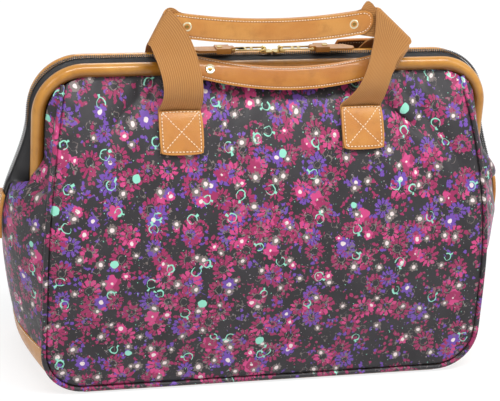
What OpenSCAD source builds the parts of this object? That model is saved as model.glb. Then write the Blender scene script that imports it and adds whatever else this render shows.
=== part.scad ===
/* [Frame] */
// Outer width of each tubular mouth frame
frame_w = 480; // [460:1:520]
// Height of the top of the frames above the floor
frame_top = 332; // [320:1:350]
// Outer radius of the frames' top corners
frame_r = 53; // [45:1:60]
// Outer diameter of the leather-covered frame tube
tube_d = 14; // [12:0.5:16]
// Diameter of the steel rod inside the leather
rod_d = 8; // [6:0.5:9]
// Distance between the two frames, centre to centre
mouth_gap = 30; // [28:0.5:34]
// Height at which the covered legs end inside the side panels
leg_end = 207; // [200:1:212]
// Height of the rivets that join the two rods
hinge_z = 150; // [140:1:158]

/* [Body] */
// Width from side seam to side seam at the foot
body_w = 466; // [450:1:474]
// Depth from front seam to back seam at the foot
body_d = 170; // [150:1:190]
// Radius of the front and back panels' bottom corners
corner_r = 43; // [35:1:55]
// How far each side panel bulges past the seams
bulge = 33; // [26:1:40]
// Height of the widest point of the side panels
bulge_z = 165; // [155:1:175]
// How far the front and back panels swell at the middle
puff = 9; // [4:0.5:14]
// How far the side seams lean in at the top
seam_taper = 20; // [14:1:26]
// Depth of the gathers under the frames
gather = 2.4; // [0:0.1:4]
// Depth of the slanting creases beside the handles
crease = 5; // [0:0.5:8]
// Thickness of the lined cloth
cloth_t = 2.4; // [2:0.1:3]
// Diameter of the piping in the seams
piping_d = 5.2; // [4:0.2:6]
// Height of the top edge of the leather corner caps
cap_top = 52; // [49:1:60]
// Thickness of the stiffening board inside
board_t = 3; // [2:0.5:4]

/* [Handles] */
// Width of the webbing
web_w = 44; // [36:1:46]
// Thickness of the webbing
web_t = 2; // [1.6:0.1:2.4]
// Distance between the centres of a handle's two patches
patch_gap = 190; // [180:1:200]
// Side of the square leather patches
patch_w = 45; // [42:0.5:48]
// Thickness of the patches
patch_t = 2; // [1.6:0.1:2.4]
// Height at which the webbing comes out of the patches
patch_top = 290; // [284:1:294]
// Width of the leather grips
grip_w = 24; // [20:0.5:27]
// Distance between a grip's two rivets
rivet_gap = 172; // [160:1:180]
// Distance from a rivet to the rounded end of the grip
grip_end = 20; // [16:1:22]
// Thickness of the leather of the grips
grip_t = 2.2; // [1.8:0.1:2.4]
// Diameter of the rivet heads
rivet_d = 10; // [8:0.5:12]

/* [Zip] */
// Where along the mouth the two sliders meet
meet_x = 8; // [0:1:12]
// Height of the lower end of the zip on each side
zip_end = 186; // [180:1:192]
// Thickness of the zip tape
tape_t = 1; // [0.8:0.1:1.2]
// Diameter of each row of zip coil
coil_d = 2.6; // [2.2:0.1:2.8]
// Distance from the pull's pivot to its far bar
pull_reach = 33; // [28:1:34]
// Width of the metal pulls
pull_w = 10; // [9:0.5:12]
// Length of the leather tab past the pull's far bar
tab_reach = 45; // [36:1:45]
// Width of the leather tabs
tab_w = 14; // [10:0.5:14]

/* [Hidden] */

leather = "#c98a45";
printed_cloth = "#4a2c48";
webbing_tan = "#c8995f";
black = "#2c2a2b";
gold = "#e0c878";
steel = "#b8b8b8";
fit = 0.2;
pin_fit = 0.08;
frame_gap = 0.3;
tape_gap = 0.1;

// Centreline of the frames
frame_x = frame_w/2 - tube_d/2;
frame_z = frame_top - tube_d/2;
bend_r = frame_r - tube_d/2;
bend_x = frame_x - bend_r;
bend_z = frame_z - bend_r;
frame_y = mouth_gap/2;

// Seams of the body
seam_foot = 5;
piping_r = piping_d/2;
inset = piping_r + fit;
panel_top = frame_z - tube_d/2 - frame_gap;
panel_arch = bend_r - tube_d/2 - frame_gap;
corner_x = body_w/2 - corner_r;
corner_z = seam_foot + corner_r;
seam_top = bend_z + 0.45*bend_r;
top_y = frame_y + 2;
taper_from = 120;

// Mouth and zip; the side panels bulge past the seams and past the frame legs inside them
mouth_edge = frame_x + tube_d/2 + tape_gap;
widest = max(body_w/2, frame_x) + bulge;
tape_drop = tube_d/2 + tape_gap;
tape_edge = frame_y - tube_d/2 - 3*fit;
tape_inner = 1;
coil_y = 3*fit + coil_d/2;
tape_r = bend_r + tape_drop;
tape_top = bend_z + tape_r;
coil_lift = tape_t/2 + coil_d/2 + tape_gap/2;
coil_top = tape_top + coil_lift + coil_d/2;

function lerp(a, b, t) = a + (b - a)*t;
function unit(v) = v/norm(v);
function bezier(a, b, c, t) = (1 - t)*(1 - t)*a + 2*t*(1 - t)*b + t*t*c;
function bell(t) = exp(-t*t);

// Smooth curve through points a unit of t apart
function curve(p, t) =
    let(i = max(0, min(len(p) - 2, floor(t))), f = t - i)
    let(a = p[max(0, i - 1)], b = p[i], c = p[i + 1], d = p[min(len(p) - 1, i + 2)])
    0.5*(2*b + (c - a)*f + (2*a - 5*b + 4*c - d)*f*f + (3*b - a - 3*c + d)*f*f*f);

// Side view of the body: how far the walls stand out at height z
function wall_share(z) =
    let(t = max(0, min(1, (panel_top - z)/(panel_top - seam_foot)/0.75)))
    1 - pow(1 - t, 2.3);
function seam_y(z) = lerp(top_y, body_d/2, wall_share(z));
function seam_x(z) = body_w/2 - seam_taper*pow(max(0, (z - taper_from)/180), 2);

// Half width of the front and back panels at height z
function panel_half(z) =
    let(foot = z < corner_z ? corner_x + sqrt(max(0, pow(corner_r - inset, 2) - pow(corner_z - z, 2)))
        : seam_x(z) - inset)
    let(arch = z > bend_z ? bend_x + sqrt(max(0, pow(panel_arch, 2) - pow(z - bend_z, 2))) : body_w)
    min(foot, arch);

// The sewn patches hold the cloth flat round them
function loose(x, z) =
    1 - bell((abs(x) - patch_gap/2)/(0.7*patch_w))*bell((z - patch_top + patch_w/2)/(0.75*patch_w));

// Gathers hang from the frame and fade out below it
function gathers(x, z) =
    let(down = panel_top - z)
    gather*exp(-down/48)*(1 - exp(-down/10))*(sin(360*x/64 + 40) + 0.6*sin(360*x/103));

// A crease runs down and out from each handle, from a point [out, down] seen from the patch's top middle
crease_half_w = [17, 15];
crease_half_len = 32;
function crease_line(side, x, z, from, slope, mid_out) =
    let(out = side*x - patch_gap/2 - from.x, down = patch_top - from.y - z)
    bell((out - slope*down)/crease_half_w[side < 0 ? 0 : 1])*bell((out - mid_out)/crease_half_len);
function creases(x, z) =
    -crease*crease_line(1, x, z, [45, 40], 0.9, 12) + 0.6*crease*crease_line(-1, x, z, [63, 28], 0.7, 10);

function panel_y(x, z) =
    let(v = (panel_top - z)/(panel_top - seam_foot))
    let(u = x/panel_half(z))
    seam_y(z) + puff*(1 - u*u)*sin(180*min(1, max(0, v)))
    + (1 - u*u)*loose(x, z)*(gathers(x, z) + creases(x, z));

// Half width of the closed mouth on the sides, and of the side panels
function mouth_x(z) =
    mouth_edge + (widest - mouth_edge)*pow(cos(90*max(0, min(1, (z - bulge_z)/(bend_z - bulge_z)))), 2);
function side_x(z) =
    z > bulge_z ? mouth_x(z) - 1.6 : body_w/2 + 3 + (widest - 4.6 - body_w/2)*sin(90*z/bulge_z);

// Points of a sheet's outer or inner face, half a thickness from its middle
function sheet_normal(g, j, i) =
    let(j0 = max(0, j - 1), j1 = min(len(g) - 1, j + 1))
    let(i0 = max(0, i - 1), i1 = min(len(g[0]) - 1, i + 1))
    unit(cross(g[j][i1] - g[j][i0], g[j1][i] - g[j0][i]));
function face_points(g, off) =
    [for (j = [0:len(g) - 1]) for (i = [0:len(g[0]) - 1]) g[j][i] + off*sheet_normal(g, j, i)];

// Closed sheet of a thickness round a grid of points, with a slit above one row
module sheet(g, thick, slit_col = -1, slit_row = 0) {
    rows = len(g);
    cols = len(g[0]);
    inner = rows*cols;
    function here(j, i) =
        j >= 0 && j < rows - 1 && i >= 0 && i < cols - 1 && !(i == slit_col && j >= slit_row);
    function quad(a, b, c, d) = [[a, d, c], [a, c, b]];
    function wall(p, q) = [[p, q, q + inner], [p, q + inner, p + inner]];
    faces = [
        for (j = [0:rows - 2]) for (i = [0:cols - 2]) if (here(j, i))
            let(a = j*cols + i, b = a + 1, c = b + cols, d = a + cols)
            each concat(
                quad(a, b, c, d),
                quad(b + inner, a + inner, d + inner, c + inner),
                here(j - 1, i) ? [] : wall(a, b),
                here(j, i + 1) ? [] : wall(b, c),
                here(j + 1, i) ? [] : wall(c, d),
                here(j, i - 1) ? [] : wall(d, a))
    ];
    polyhedron(concat(face_points(g, thick/2), face_points(g, -thick/2)), faces, convexity = 8);
}

// Closed tube through a list of rings
module loft(rings) {
    m = len(rings[0]);
    n = len(rings);
    faces = concat(
        [[for (i = [0:m - 1]) i]],
        [[for (i = [m - 1:-1:0]) (n - 1)*m + i]],
        [for (k = [0:n - 2]) for (i = [0:m - 1])
            let(a = k*m + i, b = k*m + (i + 1)%m, c = b + m, d = a + m)
            each [[a, d, c], [a, c, b]]]);
    polyhedron([for (r = rings) each r], faces, convexity = 8);
}

// Round cord of a diameter along a path that lies near the front plane
module round_cord(path, d, sides) {
    last = len(path) - 1;
    loft([for (k = [0:last])
        let(t = unit(path[min(last, k + 1)] - path[max(0, k - 1)]))
        let(a = unit(cross(t, [0, 1, 0])), b = cross(t, a))
        [for (i = [0:sides - 1])
            path[k] + d/2*(cos(360*(i + 0.5)/sides)*a + sin(360*(i + 0.5)/sides)*b)]]);
}

// Front and back panels
panel_cols = 28;
panel_rows = 16;
panel_foot = seam_foot + inset;
function panel_row_z(j) = lerp(panel_foot, panel_top, (1 - cos(180*j/panel_rows))/2*0.6 + 0.4*j/panel_rows);
module body_panel(side) {
    color(printed_cloth)
    sheet([for (j = [0:panel_rows]) [for (i = [0:panel_cols])
        let(z = panel_row_z(j), x = -side*panel_half(z)*lerp(-1, 1, i/panel_cols))
        [x, side*panel_y(x, z), z]]], cloth_t);
}
module front_panel() body_panel(-1);
module back_panel() body_panel(1);

// Side panels, slit at the top where the mouth runs down between the frame legs
gusset_half_cols = 4;
slit_z = leg_end - 1;
slit_foot = slit_z - 9;
slit_top = slit_z + 5;
gusset_foot = cap_top + frame_gap;
gusset_zs = [for (k = [0:7]) lerp(gusset_foot, slit_foot, k/7), slit_z,
    for (k = [0:8]) lerp(slit_top, seam_top, pow(k/8, 1.2))];
gusset_inset = inset + 0.9;

// Beside a leg the edge of the side panel turns round the tube as it climbs
leg_clear = 1;
leg_flare = 5;
leg_turn_from = slit_z + 10;
leg_turn_len = 20;
function leg_edge(z) =
    let(angle = 45 + 90*max(0, min(1, (z - leg_turn_from)/leg_turn_len)))
    let(flare = leg_flare*max(0, min(1, (leg_turn_from + 2 - z)/(leg_turn_len/2))))
    let(off = tube_d/2 + cloth_t/2 + leg_clear + flare)
    let(arch = z > bend_z ? bend_r - sqrt(pow(bend_r, 2) - pow(z - bend_z, 2)) : 0)
    [frame_x - arch + off*cos(angle)*(arch > 0 ? 1.08 : 1), frame_y + off*sin(angle)];
dent = 7;
function gusset_point(z, k) =
    let(y0 = seam_y(z) - gusset_inset)
    let(open = z > slit_z)
    let(u = open ? k/gusset_half_cols : k/(gusset_half_cols + 0.5))
    let(edge = leg_edge(z))
    open ? [lerp(seam_x(z), edge.x, u) - dent*sin(180*u)*(1 - (z - slit_z)/(seam_top - slit_z)*0.8),
            lerp(y0, min(y0 - 1, edge.y), u), z]
        : [lerp(seam_x(z), side_x(z), sin(90*u)), y0*(1 - u), z];
module gusset(side) {
    color(printed_cloth)
    sheet([for (z = gusset_zs) [for (i = [0:2*gusset_half_cols + 1])
        let(k = i <= gusset_half_cols ? i : 2*gusset_half_cols + 1 - i)
        let(p = gusset_point(z, k))
        [side*p.x, (i <= gusset_half_cols ? -side : side)*p.y, z]]],
        cloth_t, gusset_half_cols, search(slit_z, gusset_zs)[0]);
}
module gusset_left() gusset(-1);
module gusset_right() gusset(1);

// Flat bottom and the leather caps that turn up from it at both ends
base_t = 2.4;
base_edge = body_d/2 - inset;
module base_panel() {
    color(leather)
    translate([-corner_x, -base_edge, 0])
    cube([2*corner_x, 2*base_edge, base_t]);
}
board_margin = 9;
board_corner = 12;
module base_board() {
    half_x = corner_x - board_margin;
    half_y = base_edge - board_margin;
    color("#8a8378")
    translate([0, 0, base_t + fit])
    linear_extrude(board_t)
    union() {
        square([2*half_x, 2*(half_y - board_corner)], center = true);
        square([2*(half_x - board_corner), 2*half_y], center = true);
        for (sx = [-1, 1], sy = [-1, 1])
            translate([sx*(half_x - board_corner), sy*(half_y - board_corner)])
            circle(r = board_corner, $fn = 32);
    }
}
cap_rows = 6;
module corner_cap(side) {
    levels = [for (j = [0:cap_rows - 1]) 90 - 90*j/(cap_rows - 1)];
    color(leather)
    sheet(concat(
        [for (a = levels) [for (i = [0:8])
            let(u = lerp(-1, 1, i/8))
            let(swell = (side_x(corner_z) - body_w/2)*cos(90*u)*pow(cos(a), 1.5))
            let(lift = pow(abs(u), 6)*(seam_foot - base_t/2)*0.3)
            [side*(corner_x + fit + (corner_r - fit)*cos(a) + swell), side*base_edge*u,
                corner_z - (corner_z - base_t/2 - lift)*sin(a)]]],
        [[for (i = [0:8])
            let(u = lerp(-1, 1, i/8))
            [side*lerp(seam_x(cap_top), side_x(cap_top), cos(90*u)), side*(seam_y(cap_top) - inset)*u,
                cap_top]]]), base_t);
}
module corner_cap_left() corner_cap(-1);
module corner_cap_right() corner_cap(1);

// Piping along the front and back seams, from one frame corner round the foot to the other
piping_side_zs = [seam_top - 1, for (k = [len(gusset_zs) - 2:-1:0]) gusset_zs[k], corner_z];
module piping(side) {
    half = concat(
        [for (z = piping_side_zs) [seam_x(z), seam_y(z), z]],
        [for (a = [9:9:90]) [corner_x + corner_r*cos(a), seam_y(corner_z), corner_z - corner_r*sin(a)]],
        [[corner_x/2, seam_y(seam_foot), seam_foot]]);
    last = len(half) - 1;
    color(printed_cloth)
    round_cord([for (k = [0:2*last + 1])
        let(p = k <= last ? half[k] : half[2*last + 1 - k])
        [(k <= last ? -1 : 1)*p.x, side*p.y, p.z]], piping_d, 8);
}
module piping_front() piping(-1);
module piping_back() piping(1);

// One frame: an upside-down U of round section
module frame_tube(side, d, foot) {
    translate([0, side*frame_y, 0]) {
        for (s = [-1, 1]) {
            translate([s*frame_x, 0, foot])
            cylinder(h = bend_z - foot, d = d, $fn = 48);
            translate([s*bend_x, 0, bend_z])
            rotate([90, 0, 0])
            rotate([0, 0, s > 0 ? 0 : 90])
            rotate_extrude(angle = 90, $fn = 96)
            translate([bend_r, 0])
            circle(d = d, $fn = 48);
        }
        translate([-bend_x, 0, frame_z])
        rotate([0, 90, 0])
        cylinder(h = 2*bend_x, d = d, $fn = 48);
    }
}
module frame_cover(side) {
    color(leather)
    difference() {
        frame_tube(side, tube_d, leg_end);
        frame_tube(side, rod_d + fit, leg_end - 1);
    }
}
module frame_cover_front() frame_cover(-1);
module frame_cover_back() frame_cover(1);

// Steel rods, bent together below the covers and flattened to an eye at each end
rod_foot = leg_end - 6;
eye_t = 3;
eye_r = 7;
hinge_pin_d = 4;
neck_y = 8;
neck_z = hinge_z + 16;
module frame_rod(side) {
    lean = atan((frame_y - neck_y)/(rod_foot - neck_z));
    eye_lean = atan(neck_y/(neck_z - hinge_z));
    color(steel)
    difference() {
        union() {
            frame_tube(side, rod_d, rod_foot);
            for (s = [-1, 1]) {
                translate([s*frame_x, side*frame_y, rod_foot])
                sphere(d = rod_d + 0.4, $fn = 48);
                translate([s*frame_x, side*neck_y, neck_z])
                rotate([-side*lean, 0, 0])
                cylinder(h = norm([frame_y - neck_y, rod_foot - neck_z]), d = rod_d, $fn = 48);
                translate([s*frame_x + side*(eye_t/2 + pin_fit) - eye_t/2, 0, hinge_z])
                rotate([90, 0, 90])
                linear_extrude(eye_t) {
                    circle(r = eye_r, $fn = 48);
                    rotate([0, 0, -side*eye_lean])
                    translate([-eye_r*0.6, 0])
                    square([eye_r*1.2, norm([neck_y, neck_z - hinge_z]) + 3]);
                }
            }
        }
        for (s = [-1, 1])
            translate([s*frame_x - 10, 0, hinge_z])
            rotate([0, 90, 0])
            cylinder(h = 20, d = hinge_pin_d + 2*pin_fit, $fn = 48);
    }
}
module frame_rod_front() frame_rod(-1);
module frame_rod_back() frame_rod(1);
module hinge_rivet(side) {
    grip_len = 2*(eye_t + 2*pin_fit);
    color(steel)
    translate([side*frame_x, 0, hinge_z])
    rotate([0, 90, 0]) {
        cylinder(h = grip_len + 1, d = hinge_pin_d, center = true, $fn = 48);
        for (s = [-1, 1])
            translate([0, 0, s*(grip_len/2 + 0.8)])
            cylinder(h = 1.6, d = 2*hinge_pin_d, center = true, $fn = 48);
    }
}
module hinge_rivet_left() hinge_rivet(-1);
module hinge_rivet_right() hinge_rivet(1);

// Route of the zip over the mouth: [x, z, outward x, outward z, drop to the tape's edge]
zip_side_zs = [slit_foot, for (k = [0:5]) lerp(leg_end, bend_z, pow(k/5, 1.2))];
flat_drop = 0.1;
function zip_drop(z) =
    let(turned = max(0, min(1, (z - leg_end - 2)/leg_turn_len)))
    lerp(flat_drop, tape_drop + 0.9*(mouth_x(z) - mouth_edge), turned);
function zip_half(end_z) = concat(
    [for (z = concat([end_z], zip_side_zs)) [mouth_x(z), z, 1, 0, zip_drop(z)]],
    [for (a = [18:18:90]) [bend_x + tape_r*cos(a), bend_z + tape_r*sin(a), cos(a), sin(a), tape_drop]]);
function zip_route(end_z) =
    let(half = zip_half(end_z), n = len(half))
    [for (k = [0:2*n - 1])
        let(p = k < n ? half[k] : half[2*n - 1 - k], s = k < n ? -1 : 1)
        [s*p[0], p[1], s*p[2], p[3], p[4]]];
module zip_tape(side) {
    color(black)
    sheet([for (p = zip_route(zip_end)) [for (i = [0:2])
        let(y = lerp(tape_inner, tape_edge, side < 0 ? 1 - i/2 : i/2))
        let(drop = p[4]*pow(y/tape_edge, 2))
        [p[0] - drop*p[2], side*y, p[1] - drop*p[3]]]], tape_t);
}
module zip_tape_front() zip_tape(-1);
module zip_tape_back() zip_tape(1);
coil_end = zip_end + 8;
module zip_coil(side) {
    color(black)
    round_cord([for (p = zip_route(coil_end)) [p[0] + coil_lift*p[2], side*coil_y, p[1] + coil_lift*p[3]]],
        coil_d, 6);
}
module zip_coil_front() zip_coil(-1);
module zip_coil_back() zip_coil(1);

// Folded leather tab over each lower end of the zip
zip_tab_w = 20;
zip_tab_len = 48;
zip_tab_t = 3.6;
module zip_end(side) {
    off = tape_t/2 + 3*fit + zip_tab_t/2;
    z1 = zip_end + 6;
    color(leather)
    sheet([for (j = [0:5]) [for (i = [0:4])
        let(z = z1 - zip_tab_len + zip_tab_len*j/5, u = lerp(-1, 1, i/4))
        let(mid = z > bulge_z ? mouth_x(z) : side_x(z) + 1.6)
        [side*(mid + off - 0.9*u*u), side*zip_tab_w/2*u, z]]], zip_tab_t);
}
module zip_end_left() zip_end(-1);
module zip_end_right() zip_end(1);

// Zip slider: two plates joined by a thin post, with an eye for the pull
slider_len = 13;
slider_w = 10;
nose_w = 4.8;
nose_len = 1.6;
tail_w = 7.6;
tail_from = 6;
bridge_w = 2.6;
plate_t = 1.3;
slider_gap = 0.5;
under_gap = 3.9;
post_t = 0.6;
post_len = 4.5;
plate_low = tape_top - tape_t/2 - plate_t - under_gap;
plate_high = coil_top + slider_gap;
eye_d = 5;
pull_pin_d = 2;
pivot_z = plate_high + plate_t + eye_d/2 - 0.4;
pivot_in = 8.5;
function pivot_x(side) = meet_x + side*(slider_gap/2 + pivot_in);
module slider(side) {
    nose = meet_x + side*slider_gap/2;
    color(gold)
    translate([nose, 0, 0])
    turned_to(side)
    difference() {
        union() {
            for (z = [plate_low, plate_high])
                translate([0, 0, z])
                linear_extrude(plate_t)
                polygon([[0, -nose_w/2], [nose_len, -slider_w/2], [tail_from, -slider_w/2],
                    [slider_len, -tail_w/2], [slider_len, tail_w/2], [tail_from, slider_w/2],
                    [nose_len, slider_w/2], [0, nose_w/2]]);
            translate([0.5, -post_t/2, plate_low])
            cube([post_len, post_t, plate_high - plate_low + plate_t]);
            translate([pivot_in, 0, pivot_z])
            rotate([90, 0, 0])
            cylinder(h = bridge_w, d = eye_d, center = true, $fn = 48);
            translate([pivot_in - eye_d/2, -bridge_w/2, plate_high])
            cube([eye_d, bridge_w, pivot_z - plate_high]);
        }
        translate([pivot_in, 0, pivot_z])
        rotate([90, 0, 0])
        cylinder(h = slider_w, d = pull_pin_d + 2*pin_fit, center = true, $fn = 48);
    }
}
module turned_to(side) {
    if (side > 0)
        children();
    else
        rotate([0, 0, 180])
        children();
}
module slider_left() slider(-1);
module slider_right() slider(1);

// Gold pull: two rails with a pivot bar, a double middle bar and a far bar for the tab
rail_t = 1.6;
rail_w = 1.5;
rail_over = 2.2;
cross_bar = 2.4;
module pull(side) {
    inner = pull_w/2 - rail_w;
    color(gold)
    translate([pivot_x(side), 0, pivot_z])
    turned_to(side) {
        for (x = [0, pull_reach])
            translate([x, 0, 0])
            rotate([90, 0, 0])
            cylinder(h = 2*inner + 1, d = pull_pin_d, center = true, $fn = 48);
        for (s = [-1, 1]) {
            translate([0, s*(inner + rail_w/2) - rail_w/2, -rail_t/2])
            cube([pull_reach, rail_w, rail_t]);
            for (x = [0, pull_reach])
                translate([x, s*(inner + rail_w/2), 0])
                rotate([90, 0, 0])
                cylinder(h = rail_w, r = rail_over*0.8, center = true, $fn = 48);
        }
        for (x = [0.36, 0.56])
            translate([x*pull_reach, -inner - 0.5, -rail_t/2])
            cube([cross_bar, 2*inner + 1, rail_t]);
    }
}
module pull_left() pull(-1);
module pull_right() pull(1);

// Leather tab looped round the pull's far bar
loop_d = 5.6;
tab_t = 2.2;
tab_rivet_x = 14;
tab_rivet_d = 3;
module pull_tab(side) {
    inner = pull_w/2 - rail_w - 0.3;
    neck = rail_over + 1;
    color(leather)
    translate([pivot_x(side) + side*pull_reach, 0, pivot_z])
    turned_to(side)
    difference() {
        union() {
            rotate([90, 0, 0])
            cylinder(h = 2*inner, d = loop_d, center = true, $fn = 48);
            translate([0, -inner, -loop_d/2])
            cube([neck + 0.5, 2*inner, loop_d]);
            translate([neck, -tab_w/2, -loop_d/2])
            cube([tab_rivet_x + 4 - neck, tab_w, loop_d]);
            translate([0, 0, -tab_t/2])
            linear_extrude(tab_t)
            polygon([[neck, -tab_w/2], [tab_reach - 3, -tab_w/2], [tab_reach, -tab_w/2 + 3],
                [tab_reach, tab_w/2 - 6], [tab_reach - 9, tab_w/2], [neck, tab_w/2]]);
        }
        rotate([90, 0, 0])
        cylinder(h = pull_w, d = pull_pin_d + 2*pin_fit, center = true, $fn = 48);
        translate([tab_rivet_x, 0, -loop_d])
        cylinder(h = 2*loop_d, d = tab_rivet_d + 2*pin_fit, $fn = 32);
    }
}
module pull_tab_left() pull_tab(-1);
module pull_tab_right() pull_tab(1);
module tab_rivet(side) {
    color(gold)
    translate([pivot_x(side) + side*(pull_reach + tab_rivet_x), 0, pivot_z]) {
        cylinder(h = loop_d + 0.4, d = tab_rivet_d, center = true, $fn = 32);
        for (s = [-1, 1])
            translate([0, 0, s*(loop_d/2 + 0.1 + 0.3)])
            cylinder(h = 0.6, d = 2*tab_rivet_d, center = true, $fn = 32);
    }
}
module tab_rivet_left() tab_rivet(-1);
module tab_rivet_right() tab_rivet(1);

// Way of each handle's webbing, [outward y, z], every step_d from the top of its patch. Over the frames it
// is given in steps from the top between them.
step_d = 12;
ply_clear = 0.75;
web_off = cloth_t/2 + web_t/2 + ply_clear;
patch_slope = 0.9;
function on_panel(x, d) =
    let(z = patch_top + d*patch_slope)
    let(near = sign(x)*max(patch_gap/2 - patch_w/2, min(patch_gap/2 + patch_w/2, abs(x))))
    [panel_y(near, z) + web_off, z];
front_way = [
    [2.65, -2.583], [3.042, -1.65], [3.1, -0.65], [2.883, 0.342],
    [2.6, 1.333], [2.417, 2.333], [2.3, 3.333], [2.217, 4.333],
    [2.15, 5.333], [2.083, 6.333], [2.083, 7.333]
];
back_way = [
    [1.65, -2.542], [1.333, -1.583], [1.083, -0.608], [0.65, 0.317],
    [-0.15, 0.942], [-1.15, 1.183], [-2.15, 1.15], [-3.15, 0.767],
    [-3.925, 0.025], [-4.417, -0.883], [-4.742, -1.842], [-5, -2.825]
];
function way(side, x) = concat(
    [for (k = [-5:0]) on_panel(x, k*step_d)],
    [for (p = side < 0 ? front_way : back_way) [frame_y, frame_top] + step_d*p]);

// Point of a handle laid flat: x along the bag, d up the webbing, h out of its face
function drape(side, x, d, h) =
    let(p = way(side, x), t = d/step_d + 5)
    let(q = curve(p, t), dir = unit(curve(p, t + 0.1) - curve(p, t - 0.1)))
    [x, side*(q.x + h*dir.y), q.y - h*dir.x];

// Flat pattern of the handles: the grips' middles, their height above the patches and how far they rise
// at the middle
front_mid = -6;
back_mid = 22;
front_grip_d = 89;
back_grip_d = 110;
front_rise = -6;
back_rise = 11;
function handle_mid(side) = side < 0 ? front_mid : back_mid;
function grip_d(side, x) =
    let(u = (x - handle_mid(side))/(rivet_gap/2))
    side < 0 ? front_grip_d + front_rise*(1 - u*u) : back_grip_d + back_rise*(1 - u*u);

// Ends of each fold, bends of the webbing's edges and how far it puckers up past the fold, in steps of
// step_d: left and right, front then back
fold_lows = [[[-10.75, 5.917], [11.75, 5.75]], [[-9.667, 7.5], [12.5, 7]]];
fold_tops = [[[-9.25, 8.917], [8.45, 8.7]], [[-8.833, 10.833], [10.167, 10]]];
bend_lows = [[[-9, 2.5], [9.583, 4]], [[-10, 4.167], [13.167, 2.917]]];
bend_tops = [[[-6.167, 6.25], [9, 4.583]], [[-6.75, 6.667], [11.25, 3.75]]];
puckers = [[0.15, 0.65], [0.15, 0.15]];
function pick(points, side, s) = step_d*points[side < 0 ? 0 : 1][s < 0 ? 0 : 1];
function fold_low(side, s) = pick(fold_lows, side, s);
function fold_top(side, s) = pick(fold_tops, side, s);
function bend_low(side, s) = pick(bend_lows, side, s);
function bend_top(side, s) = pick(bend_tops, side, s);
fold_gap = 1.9;
layer = web_t + grip_t + fold_gap;
ply_gap = 0.5;
function riser_edge(side, s, t, low) =
    let(x0 = s*(patch_gap/2 + (low ? web_w/2 : -web_w/2)))
    t < 0 ? [x0, t*patch_w/2] :
    low ? bezier([x0, 0], bend_low(side, s), fold_low(side, s), t)
        : bezier([x0, 0], bend_top(side, s), fold_top(side, s), t);

// Stations of half a handle's webbing, from its patch to the middle: [low edge, top edge, h]
gather_out = 8;
function half_stations(side, s) =
    let(lo = fold_low(side, s), hi = fold_top(side, s))
    let(out = unit([abs(hi.y - lo.y), s < 0 ? -(hi.x - lo.x) : (lo.x - hi.x)]))
    let(push = [s*abs(out.x), out.y])
    let(fx = handle_mid(side) + s*(rivet_gap/2 + gather_out))
    let(flare_lo = [fx, grip_d(side, fx) - grip_w/2 - 1], flare_hi = [fx, grip_d(side, fx) + grip_w/2 + 1])
    concat(
        [for (t = [-2, -1.5, -1, -0.5, for (k = [0:12]) k/12])
            [riser_edge(side, s, t, true), riser_edge(side, s, t, false), 0]],
        [for (a = [45, 90, 135])
            [lo + layer/2*sin(a)*push, hi + layer/2*sin(a)*push, layer/2*(cos(a) - 1)]],
        [for (t = [0, 0.5, 1])
            [lerp(lo, flare_lo, t), lerp(hi, flare_hi, t) + [0, pick(puckers, side, s)*sin(180*t)], -layer]]);
module webbing(side) {
    left = half_stations(side, -1);
    right = half_stations(side, 1);
    n = len(right);
    mid = [for (k = [-3:3])
        let(x = handle_mid(side) + k/4*(rivet_gap/2 + gather_out))
        [[x, grip_d(side, x) - grip_w/2 + 0.6], [x, grip_d(side, x) + grip_w/2 - 0.6], -layer]];
    stations = concat(left, mid, [for (k = [n - 1:-1:0]) right[k]]);
    color(webbing_tan)
    sheet([for (p = stations) [for (i = [0:4])
        let(q = lerp(p[0], p[1], side < 0 ? 1 - i/4 : i/4))
        drape(side, q.x, q.y, p[2])]], web_t);
}
module webbing_front() webbing(-1);
module webbing_back() webbing(1);

// Leather strip with round ends, in front of the webbing or behind it
module grip_strip(side, h, width) {
    round_r = width/2;
    straight = rivet_gap/2 + grip_end - round_r;
    round_end = [for (a = [18:24:90]) [straight + round_r*cos(a), round_r*sin(a)]];
    half = concat(round_end, [for (k = [0:3]) [straight*(1 - k/4), round_r]]);
    n = len(half);
    color(leather)
    sheet([for (k = [0:2*n])
        let(p = k < n ? half[k] : k > n ? half[2*n - k] : [0, round_r])
        let(x = handle_mid(side) + (k < n ? -1 : 1)*p.x)
        [for (i = [0:4]) drape(side, x, grip_d(side, x) + side*p.y*lerp(-1, 1, i/4), h)]], grip_t);
}
grip_h = -layer + web_t/2 + grip_t/2 + ply_gap;
lining_h = -layer - web_t/2 - grip_t/2 - ply_gap;
module grip_front() grip_strip(-1, grip_h, grip_w);
module grip_back() grip_strip(1, grip_h, grip_w);
module grip_lining_front() grip_strip(-1, lining_h, grip_w - 1);
module grip_lining_back() grip_strip(1, lining_h, grip_w - 1);

// Rivet heads on the grips
function rivet_seat(side) = side < 0 ? 0.15 : 0.3;
rivet_t = 0.8;
module grip_rivet(side, s) {
    x = handle_mid(side) + s*rivet_gap/2;
    d = grip_d(side, x);
    p = drape(side, x, d, grip_h + grip_t/2 + rivet_seat(side));
    n = drape(side, x, d, 1) - drape(side, x, d, 0);
    color(gold)
    translate(p)
    rotate([atan2(-n.y, n.z), 0, 0])
    rotate_extrude($fn = 48)
    polygon([[0, 0], [rivet_d/2, 0], [rivet_d/2, rivet_t/2], [rivet_d/2 - rivet_t, rivet_t],
        [rivet_d/4, rivet_t/2], [0, rivet_t - 0.1]]);
}
module rivet_front_left() grip_rivet(-1, -1);
module rivet_front_right() grip_rivet(-1, 1);
module rivet_back_left() grip_rivet(1, -1);
module rivet_back_right() grip_rivet(1, 1);

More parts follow.
